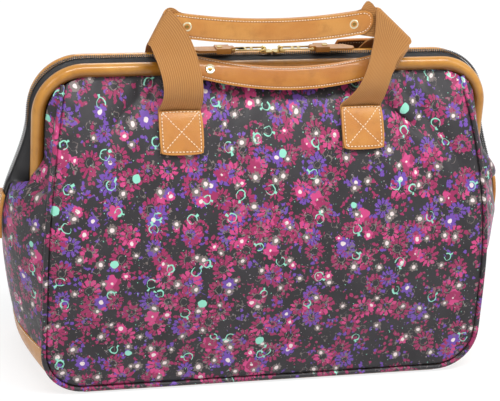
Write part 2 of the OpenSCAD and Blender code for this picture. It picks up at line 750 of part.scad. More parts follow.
// Square leather patches over the ends of the webbing
module patch(side, s) {
    mid_d = -patch_w/2;
    h = web_t/2 + ply_clear + patch_t/2;
    color(leather)
    sheet([for (j = [0:4]) [for (i = [0:4])
        let(u = lerp(-1, 1, i/4), v = lerp(-1, 1, j/4))
        let(k = patch_w/2*(1 - 0.07*u*u*v*v))
        drape(side, s*patch_gap/2 - side*k*u, mid_d + k*v, h)]], patch_t);
}
module patch_front_left() patch(-1, -1);
module patch_front_right() patch(-1, 1);
module patch_back_left() patch(1, -1);
module patch_back_right() patch(1, 1);

// Luggage tag against the back handle's right webbing, held by a strap round both
tag_w = 56;
tag_h = 36;
tag_t = 3;
tag_d = 32;
tag_x = 112;
tag_off = web_t/2 + 3*fit + tag_t/2;
module luggage_tag() {
    color("#4a2e1c")
    sheet([for (j = [0:6]) [for (i = [0:6])
        let(u = lerp(-1, 1, i/6), v = lerp(-1, 1, j/6))
        let(x = tag_x - tag_w/2*u*(1 - 0.07*u*u*v*v), d = tag_d + tag_h/2*v*(1 - 0.1*u*u*v*v))
        drape(1, x, d, tag_off)]], tag_t);
}
strap_w = 7;
strap_t = 1.2;
strap_d = 26;
strap_gap = 0.7;
strap_round = 3;
strap_share = 0.4;
module tag_strap() {
    low = -web_t/2 - strap_gap - strap_t/2;
    high = tag_off + tag_t/2 + strap_gap + strap_t/2;
    mid = (low + high)/2;
    x0 = tag_x - tag_w/2 - strap_round/2;
    x1 = riser_edge(1, 1, strap_share, true).x + 2*strap_round;
    loop = [[x0, low], [x1 - strap_round, low], [x1, mid],
        [x1 - strap_round, high], [x0, high], [x0 - 2, mid]];
    color("#4a2e1c")
    loop_band(loop, strap_t, strap_w, strap_d);
}

// Flat strap closed on itself, given in the handle's [x, h] plane at one d
module loop_band(loop, t, w, d) {
    n = len(loop);
    mid = [for (a = [0, 1]) (max([for (p = loop) p[a]]) + min([for (p = loop) p[a]]))/2];
    function off(p, o) = [p.x + o*sign(p.x - mid.x)*(abs(p.y - mid.y) < 1 ? 1 : 0.3),
        p.y + o*(abs(p.y - mid.y) < 1 ? 0 : sign(p.y - mid.y))];
    pts = [for (o = [t/2, -t/2]) for (e = [-w/2, w/2]) for (p = loop)
        let(q = off(p, o)) drape(1, q.x, d + e, q.y)];
    function id(o, e, k) = (o*2 + e)*n + k%n;
    function quad(a, b, c, e) = [[a, c, b], [a, e, c]];
    polyhedron(pts, [for (k = [0:n - 1]) each concat(
        quad(id(0, 0, k), id(0, 0, k + 1), id(0, 1, k + 1), id(0, 1, k)),
        quad(id(1, 1, k), id(1, 1, k + 1), id(1, 0, k + 1), id(1, 0, k)),
        quad(id(1, 0, k), id(1, 0, k + 1), id(0, 0, k + 1), id(0, 0, k)),
        quad(id(0, 1, k), id(0, 1, k + 1), id(1, 1, k + 1), id(1, 1, k)))], convexity = 4);
}

front_panel();
back_panel();
gusset_left();
gusset_right();
base_panel();
base_board();
corner_cap_left();
corner_cap_right();
piping_front();
piping_back();
frame_rod_front();
frame_rod_back();
frame_cover_front();
frame_cover_back();
hinge_rivet_left();
hinge_rivet_right();
zip_tape_front();
zip_tape_back();
zip_coil_front();
zip_coil_back();
zip_end_left();
zip_end_right();
slider_left();
slider_right();
pull_left();
pull_right();
pull_tab_left();
pull_tab_right();
tab_rivet_left();
tab_rivet_right();
patch_front_left();
patch_front_right();
patch_back_left();
patch_back_right();
webbing_front();
webbing_back();
grip_front();
grip_back();
grip_lining_front();
grip_lining_back();
rivet_front_left();
rivet_front_right();
rivet_back_left();
rivet_back_right();
luggage_tag();
tag_strap();
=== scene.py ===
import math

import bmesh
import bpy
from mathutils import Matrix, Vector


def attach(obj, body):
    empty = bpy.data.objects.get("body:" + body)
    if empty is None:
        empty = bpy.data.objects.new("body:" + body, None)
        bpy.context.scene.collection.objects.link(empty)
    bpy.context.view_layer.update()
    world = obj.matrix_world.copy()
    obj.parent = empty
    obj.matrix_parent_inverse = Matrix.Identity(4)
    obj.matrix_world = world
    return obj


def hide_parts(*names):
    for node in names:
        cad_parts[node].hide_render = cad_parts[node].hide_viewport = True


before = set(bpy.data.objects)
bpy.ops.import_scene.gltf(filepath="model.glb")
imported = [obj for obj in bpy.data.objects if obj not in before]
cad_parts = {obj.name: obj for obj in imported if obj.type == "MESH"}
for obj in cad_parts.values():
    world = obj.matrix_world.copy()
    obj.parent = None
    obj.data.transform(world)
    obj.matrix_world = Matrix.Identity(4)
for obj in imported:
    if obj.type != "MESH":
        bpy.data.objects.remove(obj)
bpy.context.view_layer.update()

# %% [markdown]
# # A framed travel satchel
# A travel bag of printed cloth hangs between two leather-covered tube frames. The zip lies between the frames,
# and two webbing handles with leather grips are sewn to the front and the back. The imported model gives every
# place, so this lesson only dresses it. Lengths are written in millimetres, as a bag maker writes them, and
# become metres when a mesh is placed.

MM = 0.001

# %% [markdown]
# ## The camera
# The bag was photographed from a little to the left and from above, with a long lens. A matrix built from three
# angles is exact and easy to read, so it is used here instead of a tracking constraint.

# %% Camera
PHOTO_W, SENSOR_MM = 500, 36


def satchel_camera(place, yaw, pitch, roll, focal_px):
    a, b, c = (math.radians(angle) for angle in (yaw, pitch, roll))
    forward = Vector((-math.sin(a)*math.cos(b), math.cos(a)*math.cos(b), -math.sin(b)))
    right = Vector((math.cos(a), math.sin(a), 0))
    up = right.cross(forward)
    across = math.cos(c)*right + math.sin(c)*up
    upward = -math.sin(c)*right + math.cos(c)*up
    data = bpy.data.cameras.new("satchel_camera")
    data.sensor_width = SENSOR_MM
    data.lens = focal_px/PHOTO_W*SENSOR_MM
    data.clip_end = 50
    eye = bpy.data.objects.new("satchel_camera", data)
    turn = Matrix((across, upward, -forward)).transposed().to_4x4()
    eye.matrix_world = Matrix.Translation(Vector(place)*MM) @ turn
    bpy.context.scene.collection.objects.link(eye)
    bpy.context.scene.camera = eye
    print("camera with a lens of", round(data.lens, 1), "mm")


satchel_camera((-512.82, -1774.74, 943.96), -16.0, 22.72, 4.04, 1900.0)

# %% [markdown]
# ## Materials are small networks
# Each finish is a network of nodes. The bench below adds nodes and wires them, so that a finish reads from the
# top down like a recipe. Colours are written as they look on the screen and are turned into linear light.

# %% A bench for building finishes
def linear(code):
    """A screen colour such as #c58a44 as linear light."""
    parts = [int(code[k:k + 2], 16)/255 for k in (1, 3, 5)]
    return tuple(p/12.92 if p <= 0.04045 else ((p + 0.055)/1.055)**2.4 for p in parts) + (1.0,)


class Bench:
    """Adds nodes to one tree and wires them."""
    def __init__(self, tree):
        self.tree = tree

    def put(self, value, socket):
        """Links a socket, or writes a number, a vector or a screen colour."""
        if isinstance(value, bpy.types.NodeSocket):
            self.tree.links.new(value, socket)
        elif value is not None:
            socket.default_value = linear(value) if isinstance(value, str) else value

    def node(self, kind, *given, named=None, **settings):
        made = self.tree.nodes.new("ShaderNode" + kind)
        for key, value in settings.items():
            setattr(made, key, value)
        for key, value in [*enumerate(given), *(named or {}).items()]:
            self.put(value, made.inputs[key])
        return made

    def sum(self, operation, *given):
        return self.node("Math", *given, operation=operation).outputs[0]

    def times(self, first, *others):
        for other in others:
            first = self.sum("MULTIPLY", first, other)
        return first

    def line(self, value, rise, start):
        return self.sum("MULTIPLY_ADD", value, rise, start)

    def less(self, a, b):
        return self.sum("SUBTRACT", a, b)

    def under(self, value, limit):
        return self.sum("LESS_THAN", value, limit)

    def over(self, value, limit):
        return self.sum("GREATER_THAN", value, limit)

    def vector(self, operation, *given):
        return self.node("VectorMath", *given, operation=operation).outputs[0]

    def axes(self, where):
        return self.node("SeparateXYZ", where).outputs[:]

    def mix(self, share, a, b):
        return self.node("Mix", named={0: share, 6: a, 7: b}, data_type="RGBA").outputs[2]

    def step(self, value, low, high, to_low=0.0, to_high=1.0):
        given = value, low, high, to_low, to_high
        return self.node("MapRange", *given, interpolation_type="SMOOTHSTEP").outputs[0]

    def noise(self, where, size_mm, detail=2.0, rough=0.5, dims="3D"):
        sockets = {"Vector": where, "Scale": 1/size_mm, "Detail": detail, "Roughness": rough}
        return self.node("TexNoise", named=sockets, noise_dimensions=dims).outputs[0]

    def cells(self, where, pitch_mm, dims="2D", loose=1.0, feature="F1"):
        sockets = {"Vector": where, "Scale": 1/pitch_mm, "Randomness": loose}
        return self.node("TexVoronoi", named=sockets, voronoi_dimensions=dims, feature=feature)

    def in_mm(self, found):
        return self.node("Mapping", found, None, None, (1000, 1000, 1000)).outputs[0]


class Finish(Bench):
    """One material and its shader. Settings are the shader's sockets, with _ for a space."""
    def __init__(self, name, **settings):
        self.material = bpy.data.materials.new(name)
        self.material.use_nodes = True
        super().__init__(self.material.node_tree)
        self.shader = self.tree.nodes["Principled BSDF"]
        for socket, value in settings.items():
            self.put(value, self.shader.inputs[socket.replace("_", " ")])
        print("finish", name)

    def body_mm(self):
        """Object coordinates in millimetres."""
        return self.in_mm(self.node("TexCoord").outputs["Object"])

    def cloth_mm(self):
        """The piece's own cloth coordinates, in millimetres."""
        return self.in_mm(self.node("UVMap", uv_map="cloth").outputs[0])

    def colour(self, value):
        self.put(value, self.shader.inputs["Base Color"])

    def rough(self, value):
        self.put(value, self.shader.inputs["Roughness"])

    def bump(self, height, depth_mm, strength=1.0, under=None):
        sockets = {"Strength": strength, "Distance": depth_mm*MM, "Height": height, "Normal": under}
        made = self.node("Bump", named=sockets).outputs[0]
        self.put(made, self.shader.inputs["Normal"])
        return made


# %% [markdown]
# ## The flowered print
# The cloth is charcoal, crowded with small flowers. Each kind of flower is one layer of Voronoi cells: a cell
# gives a centre, the distance and angle from that centre draw the petals, and the cell's random colour decides
# whether a flower grows there at all. The flowers are this lesson's own daisies, blossoms, rings and dots.

# %% Flower layers
PETAL_ROSE, PETAL_PLUM, PETAL_VIOLET = "#cc4580", "#9c2c5c", "#7048a6"
MINT, CREAM, ASH, LILAC = "#93dcc4", "#ecdcda", "#7d716e", "#b3a5b0"
GROUND, GROUND_PALE = "#1f1d1f", "#39363a"
FULL_TURN = 6.28


def warped(f, where, size_mm, reach_mm):
    """The same place, pushed about as by an unsteady hand."""
    wander = f.node("TexNoise", where, None, 1/size_mm, noise_dimensions="2D").outputs[1]
    push = f.vector("SUBTRACT", wander, (0.5, 0.5, 0.5))
    return f.vector("ADD", where, f.vector("SCALE", push, None, None, 2*reach_mm))


def flower_cells(f, where, pitch, shift, loose=0.75):
    """Distance and angle from the nearest centre, and that cell's three random numbers."""
    moved = f.vector("ADD", where, (shift, shift*1.7, 0))
    cell = f.cells(moved, pitch, loose=loose)
    arm = f.vector("SUBTRACT", moved, cell.outputs["Position"])
    length = f.node("VectorMath", arm, operation="LENGTH").outputs["Value"]
    x, y, _ = f.axes(arm)
    return length, f.sum("ARCTAN2", y, x), *f.node("SeparateColor", cell.outputs["Color"]).outputs[:]


def petal_wave(f, angle, turn, petals):
    """From 0 between petals to 1 on a petal's middle."""
    spun = f.line(turn, FULL_TURN, angle)
    return f.sum("ABSOLUTE", f.sum("COSINE", f.times(spun, petals/2)))


def dab_daisy(f, where, pitch, shift, size, petals, share, hole, gap=0.42):
    """A ring of loose brush dabs round an open middle."""
    length, angle, a, b, c = flower_cells(f, where, pitch, shift)
    reach = f.line(c, 0.3*size, 0.75*size)
    wave = petal_wave(f, angle, b, petals)
    dab = f.times(f.under(length, f.times(reach, f.line(wave, 0.4, 0.62))), f.over(length, f.times(reach, hole)))
    return f.times(dab, f.over(wave, gap), f.under(a, share))


def blossom(f, where, pitch, shift, size, petals, share):
    """A full small flower, its petals touching."""
    length, angle, a, b, c = flower_cells(f, where, pitch, shift)
    wave = petal_wave(f, angle, b, petals)
    reach = f.line(c, 0.35*size, 0.75*size)
    return f.times(f.under(length, f.times(reach, f.line(wave, 0.34, 0.68))), f.under(a, share))


def ring(f, where, pitch, shift, size, line, share, loose=0.6):
    """An open ring with a gap and a short stem, as if drawn in one stroke."""
    length, angle, a, b, c = flower_cells(f, where, pitch, shift, loose)
    swell = f.times(f.sum("SINE", f.line(b, FULL_TURN, angle)), 0.5)
    off = f.sum("ABSOLUTE", f.less(length, size))
    hoop = f.under(off, f.times(f.line(swell, line, line), 0.6))
    opened = f.under(f.sum("COSINE", f.line(c, FULL_TURN, angle)), 0.86)
    stem_way = f.over(f.sum("COSINE", f.line(a, 31.0, angle)), 0.985)
    stem = f.times(stem_way, f.over(length, size), f.under(length, size*1.75))
    return f.times(f.sum("MAXIMUM", f.times(hoop, opened), stem), f.under(a, share))


def dots(f, where, pitch, shift, size, share, loose=0.9):
    length, _, a, _, c = flower_cells(f, where, pitch, shift, loose)
    return f.times(f.under(length, f.line(c, 0.4*size, 0.8*size)), f.under(a, share))


# %% [markdown]
# The layers are laid over the ground one after the other, as a screen printer lays colours: small dabs first,
# then the large flowers with their eyes, the rings and the dots. A picture would be quicker to use, but a network
# has no edge and no repeat.

# %% The print as one colour
def flowered(f, where):
    steady = warped(f, where, 8, 1.5)
    ragged = warped(f, steady, 2.2, 1.7)
    colour = f.mix(f.noise(where, 40, dims="2D"), GROUND, GROUND_PALE)
    pink = f.mix(f.step(f.noise(where, 17, 1.0, dims="2D"), 0.5, 0.53), PETAL_PLUM, PETAL_ROSE)
    for pitch, shift, size, share, patch_mm, low, tone in (
            (4.9, 77, 1.9, 0.6, 17, 0.52, PETAL_PLUM), (4.7, 41, 1.9, 0.6, 15, 0.58, PETAL_VIOLET)):
        thick = f.noise(f.vector("ADD", where, (shift, 30, 0)), patch_mm, 1.0, dims="2D")
        dabs = f.times(dots(f, ragged, pitch, shift, size, share), f.step(thick, low, low + 0.03))
        colour = f.mix(dabs, colour, tone)
    for pitch, shift, size, petals, share, hole, tone in (
            (33, 0, 12.0, 13, 0.62, 0.46, PETAL_PLUM), (41, 13, 10.5, 11, 0.6, 0.42, PETAL_VIOLET),
            (35, 54, 12.5, 10, 0.6, 0.42, pink)):
        colour = f.mix(dab_daisy(f, ragged, pitch, shift, size, petals, share, hole), colour, tone)
        colour = f.mix(ring(f, steady, pitch, shift, 0.3*size, 0.4, share, 0.75), colour, ASH)
    for pitch, shift, size, petals, share, tone, eye_mm in (
            (52, 21, 8.6, 5, 0.5, pink, 1.1), (64, 67, 7.6, 7, 0.6, PETAL_VIOLET, 2.3),
            (43, 35, 5.2, 6, 0.6, PETAL_ROSE, 1.9)):
        colour = f.mix(blossom(f, ragged, pitch, shift, size, petals, share), colour, tone)
        colour = f.mix(dots(f, steady, pitch, shift, eye_mm, share, 0.75), colour, CREAM)
    for pitch, shift, size, line, share in ((19, 111, 3.9, 0.34, 0.5), (24, 17, 2.8, 0.4, 0.5)):
        colour = f.mix(ring(f, ragged, pitch, shift, size, line, share), colour, ASH)
    for shift, share in ((91, 0.62), (207, 0.42)):
        halo = blossom(f, ragged, 33, shift, 5.0, 9, share)
        colour = f.mix(dots(f, steady, 33, shift, 1.9, share, 0.75), f.mix(halo, colour, ASH), CREAM)
    for pitch, shift, size, line, share in ((43, 5, 4.6, 0.66, 0.5), (51, 71, 3.8, 0.9, 0.5)):
        colour = f.mix(ring(f, steady, pitch, shift, size, line, share), colour, MINT)
    colour = f.mix(dots(f, steady, 74, 19, 3.8, 0.45), colour, MINT)
    colour = f.mix(dots(f, ragged, 3.8, 83, 0.4, 0.3), colour, LILAC)
    colour = f.mix(dots(f, ragged, 5.6, 29, 0.55, 0.36), colour, ASH)
    colour = f.mix(dots(f, steady, 11.5, 63, 0.5, 0.4), colour, MINT)
    return colour


def printed_cloth(name, along_cloth=True):
    """Coated cotton: the print, a close weave, a soft sheen and fine crumpling."""
    f = Finish(name, Sheen_Weight=0.06, Specular_IOR_Level=0.3)
    if along_cloth:
        where = f.cloth_mm()
    else:
        x, _, z = f.axes(f.body_mm())
        where = f.node("CombineXYZ", x, z, 0.0).outputs[0]
    colour = flowered(f, where)
    warp, weft = (f.node("TexWave", where, 0.42, bands_direction=way).outputs[0] for way in "XY")
    weave = f.times(warp, weft)
    shade = f.step(weave, 0.0, 1.0, 0.86, 1.06)
    f.colour(f.vector("MULTIPLY", colour, f.node("CombineXYZ", shade, shade, shade).outputs[0]))
    f.rough(f.step(f.noise(where, 14), 0.3, 0.7, 0.36, 0.5))
    crumple = f.bump(f.noise(where, 21, 3.0), 1.6, 0.5)
    f.bump(weave, 0.12, 0.5, crumple)
    return f.material


print_on_cloth = printed_cloth("flowered_cloth")
print_on_piping = printed_cloth("flowered_piping", along_cloth=False)

# %% [markdown]
# ## Leather, webbing, zip and metal
# Glossy tan leather has three scales: clouds of colour a hand wide, a mottle of a few millimetres, and a fine
# pebble grain that only shows in the highlight. A thin clear coat gives the polished look.

# %% Leather finishes
PATCH_W, GRIP_W, RIVET_GAP, GRIP_END = 45, 24, 172, 20
GRIP_L = RIVET_GAP + 2*GRIP_END
TAN = "#c58a44", "#b77735", "#8a531d"


def leather(name, light, mid, dark, coat=0.25, grain=0.16, edge=None, inner=None):
    f = Finish(name, Coat_Weight=coat, Coat_Roughness=0.14, Coat_IOR=1.4, Specular_IOR_Level=0.28)
    where = f.body_mm()
    colour = f.mix(f.step(f.noise(where, 38, 3.0), 0.35, 0.68), mid, light)
    colour = f.mix(f.step(f.noise(where, 11, 3.0, 0.55), 0.45, 0.85, 0.0, 0.4), colour, dark)
    if edge:
        colour = edge(f, colour, light, dark)
    if inner:
        colour = inner(f, where, colour, dark)
    f.colour(colour)
    f.rough(f.step(f.noise(where, 9, 3.0), 0.3, 0.7, 0.3, 0.46))
    pebble = f.cells(where, 1.3, "3D", feature="DISTANCE_TO_EDGE").outputs[0]
    soft = f.bump(f.noise(where, 12, 2.0), 0.5, 0.35)
    f.bump(f.step(pebble, 0.0, 0.25), grain, 0.55, soft)
    return f.material


def painted_edge_shade_and_light(width, length, round_end=False):
    """Painted shade in the pressed line under the stitches and a painted highlight on the turned rim, from the
    piece's own cloth map.
    """
    def shade(f, colour, pale, deep):
        across, along = (f.less(size/2, f.sum("ABSOLUTE", f.less(axis, size/2)))
                         for axis, size in zip(f.axes(f.cloth_mm()), (width, length)))
        rim = across if round_end else f.sum("MINIMUM", across, along)
        # The dark line at the stitches is painted shade in the groove.
        pressed = f.less(1.0, f.step(f.sum("ABSOLUTE", f.less(rim, 2.9)), 0.3, 1.3))
        colour = f.mix(f.times(pressed, 0.55), colour, deep)
        # The paler band at the rim is a painted highlight on the turned edge.
        turned = f.less(1.0, f.step(rim, 0.7, 1.7))
        return f.mix(f.times(turned, 0.5), colour, pale)
    return shade


def painted_inner_shade(f, where, colour, deep):
    """Painted shade: the tube's inner side, which faces the middle of the arch, is darker than its outer side."""
    out = f.vector("NORMALIZE", f.vector("SUBTRACT", f.vector("MULTIPLY", where, (1, 0, 1)), (0, 0, 150)))
    facing = f.node("VectorMath", out, f.node("NewGeometry").outputs["Normal"], operation="DOT_PRODUCT")
    return f.mix(f.step(facing.outputs["Value"], -0.75, 0.5, 0.9, 0.0), colour, deep)


grip_painted_edges = painted_edge_shade_and_light(GRIP_W, GRIP_L, True)
tan_leather = leather("tan_leather", *TAN)
grip_leather = leather("grip_leather", *TAN, 0.45, edge=grip_painted_edges)
# The back grip takes a darker copy of the grip leather, which is painted shade: that grip faces downward.
back_grip_painted_shade = leather("grip_leather_painted_shade", "#ba7e39", "#aa6a2a", "#7f4a18", 0.45, edge=grip_painted_edges)
# The patches' edges take the same painted shade and painted highlight.
patch_leather = leather("patch_leather", *TAN, edge=painted_edge_shade_and_light(PATCH_W, PATCH_W))
tab_leather = leather("tab_leather", "#b8803c", "#a26b2a", "#714616", 0.3)
# The tube leather's inner side is darkened by painted shade.
tube_leather = leather("tube_leather", "#c48934", "#b47822", "#683d0e", 0.8, 0.05, inner=painted_inner_shade)
edge_leather = leather("cut_edge_leather", "#b9793f", "#a8672f", "#83491d", 0.1, 0.2)
# The tag leather's dark brown is partly painted shade, as the tag lies in shadow behind the frame.
dark_leather = leather("dark_leather", "#54382a", "#432a1e", "#2c1a12")

# %% [markdown]
# Webbing and zip tape are woven, so their finishes are sine waves along the piece's own cloth map: ribs and picks
# for the webbing, a twill for the tape. They turn wherever the cloth turns.

# %% Webbing and zip finishes
def webbing_finish(name):
    f = Finish(name, Sheen_Weight=0.15, Specular_IOR_Level=0.3)
    where = f.cloth_mm()
    across, along, _ = f.axes(where)
    rib = f.sum("SINE", f.times(across, 2*math.pi/2.4))
    pick = f.sum("SINE", f.times(f.line(across, 1.3, along), 2*math.pi/1.5))
    woven = f.line(rib, 0.26, f.line(pick, 0.16, 0.5))
    colour = f.mix(woven, "#935f2e", "#c28c4f")
    f.colour(f.mix(f.step(f.noise(where, 22, 2.0), 0.35, 0.75, 0.0, 0.35), colour, "#ad7439"))
    f.rough(f.step(woven, 0.0, 1.0, 0.72, 0.58))
    f.bump(woven, 0.35, 0.8)
    return f.material


def zip_cloth(name):
    f = Finish(name, Sheen_Weight=0.05, Specular_IOR_Level=0.4)
    where = f.cloth_mm()
    across, along, _ = f.axes(where)
    twill = f.sum("SINE", f.times(f.sum("ADD", across, along), 2*math.pi/0.9))
    colour = f.mix(f.step(f.noise(where, 18, 2.0), 0.3, 0.7), "#0a0a0c", "#161518")
    f.colour(f.mix(f.step(twill, -1, 1, 0.0, 0.25), colour, "#242226"))
    f.rough(f.step(f.noise(where, 7), 0.3, 0.7, 0.42, 0.56))
    f.bump(twill, 0.12, 0.5, f.bump(f.noise(where, 16, 2.0), 0.9, 0.4))
    return f.material


tan_webbing = webbing_finish("ribbed_webbing")
black_tape = zip_cloth("black_zip_tape")

# %% [markdown]
# Metal is one polished colour with fine scratches, which come from a noise stretched along one axis. Thread, nylon
# and board are small or hidden, so a speckle in colour, gloss and height is enough for them.

# %% Metal, thread, nylon and board
def metal(name, pale, deep, low, high):
    f = Finish(name, Metallic=1.0)
    where = f.body_mm()
    f.colour(f.mix(f.noise(where, 6, 3.0), deep, pale))
    scratch = f.node("Mapping", where, None, (0.3, 0.2, 0.5), (0.15, 4.0, 4.0)).outputs[0]
    f.rough(f.step(f.noise(scratch, 1.6, 3.0), 0.3, 0.75, low, high))
    f.bump(f.noise(where, 2.2, 2.0), 0.03, 0.4)
    return f.material


def speckled(name, pale, deep, clouds, worn, relief, **settings):
    """A plain finish: worn is (size, low, high), relief is (size, detail, depth, strength)."""
    f = Finish(name, **settings)
    where = f.body_mm()
    f.colour(f.mix(f.noise(where, clouds, 2.0), deep, pale))
    f.rough(f.step(f.noise(where, worn[0]), 0.3, 0.7, *worn[1:]))
    f.bump(f.noise(where, *relief[:2]), *relief[2:])
    return f.material


pale_gold = metal("pale_gold", "#efdfa6", "#b4924a", 0.1, 0.26)
rivet_metal = metal("rivet_metal", "#efe6cc", "#c9b98c", 0.12, 0.28)
dark_gold = metal("dark_gold", "#a88c50", "#6e5628", 0.2, 0.36)
rod_steel = metal("rod_steel", "#c9c9cb", "#9b9ba0", 0.25, 0.45)
spun = {"clouds": 0.8, "worn": (0.6, 0.6, 0.8), "relief": (0.35, 1.0, 0.1, 0.6), "Sheen_Weight": 0.3,
        "Specular_IOR_Level": 0.3}
cream_thread = speckled("cream_thread", "#f6e8d3", "#e2cba8", **spun)
board_grey = speckled("grey_board", "#8f8878", "#6f6a5e", **spun)
grey_coil = speckled("grey_zip_coil", "#4a484a", "#2d2c2e", 3.0, (2.0, 0.28, 0.42), (0.9, 2.0, 0.08, 0.5),
                     Specular_IOR_Level=0.6)

# %% [markdown]
# ## Room and light
# The photograph has a white room and soft light from above and the left. The world gives an even glow at which a
# colour looks about as it is written. A long strip above gives the direction, weaker windows fill the sides and
# the back, and the camera sees white behind the bag.

# %% Room
def white_to_camera(bench, shader, white, share, end):
    """Mixes plain white in for what the camera, mirrors and glass see."""
    rays = bench.node("LightPath").outputs
    seen = bench.sum("MAXIMUM", rays["Is Camera Ray"], rays["Is Glossy Ray"])
    clear = bench.sum("MAXIMUM", seen, rays["Is Transmission Ray"])
    mixed = bench.node("MixShader", bench.times(clear, share), shader, white)
    bench.put(mixed.outputs[0], bench.tree.nodes[end].inputs[0])


world = bpy.data.worlds.new("white_room")
bpy.context.scene.world = world
world.use_nodes = True
room = Bench(world.node_tree)
glow = room.tree.nodes["Background"]
room.put((0.97, 0.985, 1.0, 1), glow.inputs["Color"])
room.put(0.30, glow.inputs["Strength"])
white = room.node("Background", (1, 1, 1, 1))
white_to_camera(room, glow.outputs[0], white.outputs[0], 1.0, "World Output")

floor_paint = Finish("floor_paint", Specular_IOR_Level=0.1, Base_Color=(0.86, 0.86, 0.87, 1), Roughness=0.8)
lit = floor_paint.node("Emission", (1, 1, 1, 1), 1.1)
white_to_camera(floor_paint, floor_paint.shader.outputs[0], lit.outputs[0], 0.72, "Material Output")
ground = bmesh.new()
bmesh.ops.create_grid(ground, x_segments=1, y_segments=1, size=6)
ground_mesh = bpy.data.meshes.new("floor")
ground.to_mesh(ground_mesh)
ground.free()
ground_mesh.materials.append(floor_paint.material)
floor = bpy.data.objects.new("floor", ground_mesh)
bpy.context.scene.collection.objects.link(floor)

# %% [markdown]
# Windows light the real room, and large area lamps come closest to them. The strip is long and narrow, so that it
# draws a clean line of light on the leather tubes.

# %% Lamps
def soft_lamp(name, place, aim, wide, tall, watts):
    data = bpy.data.lights.new(name, "AREA")
    data.shape = "RECTANGLE"
    data.size = wide
    data.size_y = tall
    data.energy = watts
    lamp = bpy.data.objects.new(name, data)
    lamp.location = place
    lamp.rotation_euler = (Vector(aim) - Vector(place)).to_track_quat("-Z", "Y").to_euler()
    bpy.context.scene.collection.objects.link(lamp)
    print(name, watts, "W")


soft_lamp("strip_above", (0.25, -1.1, 2.5), (0, 0, 0.2), 2.6, 0.45, 69)
soft_lamp("window_left", (-1.9, -1.5, 1.6), (0, 0, 0.15), 1.0, 1.0, 12)
soft_lamp("window_right", (1.9, -1.4, 1.5), (0, 0, 0.15), 1.1, 1.1, 9)
soft_lamp("back_edge", (0.4, 1.8, 1.8), (0, 0, 0.25), 0.9, 0.9, 12)

# %% [markdown]
# ## The bag's measures
# These are the sizes of the solids, so that the cloth, the tape and the webbing lie where the solids lie. The
# walls are functions: give them a height and they give the half width or the half depth there. A side of -1 is
# the front or the left, and 1 the back or the right.

# %% Measures and small curves
FACES, ENDS = ((-1, "front"), (1, "back")), ((-1, "left"), (1, "right"))
FRAME_W, FRAME_TOP, FRAME_R, TUBE_D, MOUTH_GAP, LEG_END = 480, 332, 53, 14, 30, 207
BODY_W, BODY_D, CORNER_R, BULGE, BULGE_Z, PUFF = 466, 170, 43, 33, 165, 9
SEAM_TAPER, GATHER, CREASE, CLOTH_T, PIPING_D, CAP_TOP = 20, 2.4, 5, 2.4, 5.2, 52
WEB_W, WEB_T, PATCH_GAP, PATCH_T, PATCH_TOP = 44, 2, 190, 2, 290
GRIP_T, ZIP_END, ZIP_RISE, TAPE_T, COIL_D, FIT = 2.2, 186, 1.6, 1, 2.6, 0.2
frame_x, frame_z = FRAME_W/2 - TUBE_D/2, FRAME_TOP - TUBE_D/2
bend_r = FRAME_R - TUBE_D/2
bend_x, bend_z, frame_y = frame_x - bend_r, frame_z - bend_r, MOUTH_GAP/2
seam_foot, taper_from = 5, 120
inset = PIPING_D/2 + FIT
panel_top = frame_z - TUBE_D/2 - 0.3
panel_arch = bend_r - TUBE_D/2 - 0.3
corner_x, corner_z = BODY_W/2 - CORNER_R, seam_foot + CORNER_R
seam_top, top_y = bend_z + 0.45*bend_r, frame_y + 2
mouth_edge, widest = frame_x + TUBE_D/2 + 0.1, BODY_W/2 + BULGE
tape_drop, tape_edge = TUBE_D/2 + 0.1, frame_y - TUBE_D/2 - 0.6
tape_r = bend_r + tape_drop
tape_top = bend_z + tape_r


def lerp(a, b, t):
    return a + (b - a)*t


def clamp(t, low=0.0, high=1.0):
    return max(low, min(high, t))


def sind(angle):
    return math.sin(math.radians(angle))


def cosd(angle):
    return math.cos(math.radians(angle))


def bell(t):
    return math.exp(-t*t)


def ease(t):
    t = clamp(t)
    return t*t*(3 - 2*t)


def wall_share(z):
    t = clamp((panel_top - z)/(panel_top - seam_foot)/0.75)
    return 1 - (1 - t)**2.3


def seam_y(z):
    return lerp(top_y, BODY_D/2, wall_share(z))


def seam_x(z):
    return BODY_W/2 - SEAM_TAPER*(max(0, (z - taper_from)/180))**2


def panel_half(z):
    """Half width of the front and back panels at a height."""
    foot, arch = seam_x(z) - inset, BODY_W
    if z < corner_z:
        foot = corner_x + math.sqrt(max(0, (CORNER_R - inset)**2 - (corner_z - z)**2))
    if z > bend_z:
        arch = bend_x + math.sqrt(max(0, panel_arch**2 - (z - bend_z)**2))
    return min(foot, arch)


def mouth_x(z):
    return mouth_edge + (widest - mouth_edge)*cosd(90*clamp((z - BULGE_Z)/(bend_z - BULGE_Z)))**2


def side_x(z):
    return mouth_x(z) - ZIP_RISE if z > BULGE_Z else BODY_W/2 + 3 + (widest - 4.6 - BODY_W/2)*sind(90*z/BULGE_Z)


# %% [markdown]
# ## From a flat grid to sewn cloth
# Every cloth piece starts as a flat grid from `create_grid`. A rule then moves each corner to its place on the
# bag, and the grid's own flat coordinates are kept as a UV map, so that print and ribs follow the cloth.
# A Solidify modifier gives the cloth its thickness afterwards.

# %% Helpers that make pieces
def finish_piece(name, bm, material, slot, *nodes, body="bag", smooth=True):
    """A mesh becomes an object with one material, on its body, in place of solids. The slot is not used."""
    mesh = bpy.data.meshes.new(name)
    bm.to_mesh(mesh)
    bm.free()
    mesh.materials.append(material)
    if smooth:
        mesh.shade_smooth()
    made = bpy.data.objects.new(name, mesh)
    bpy.context.scene.collection.objects.link(made)
    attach(made, body)
    if nodes:
        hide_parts(*nodes)
    print(name, len(mesh.polygons), "faces")
    return made


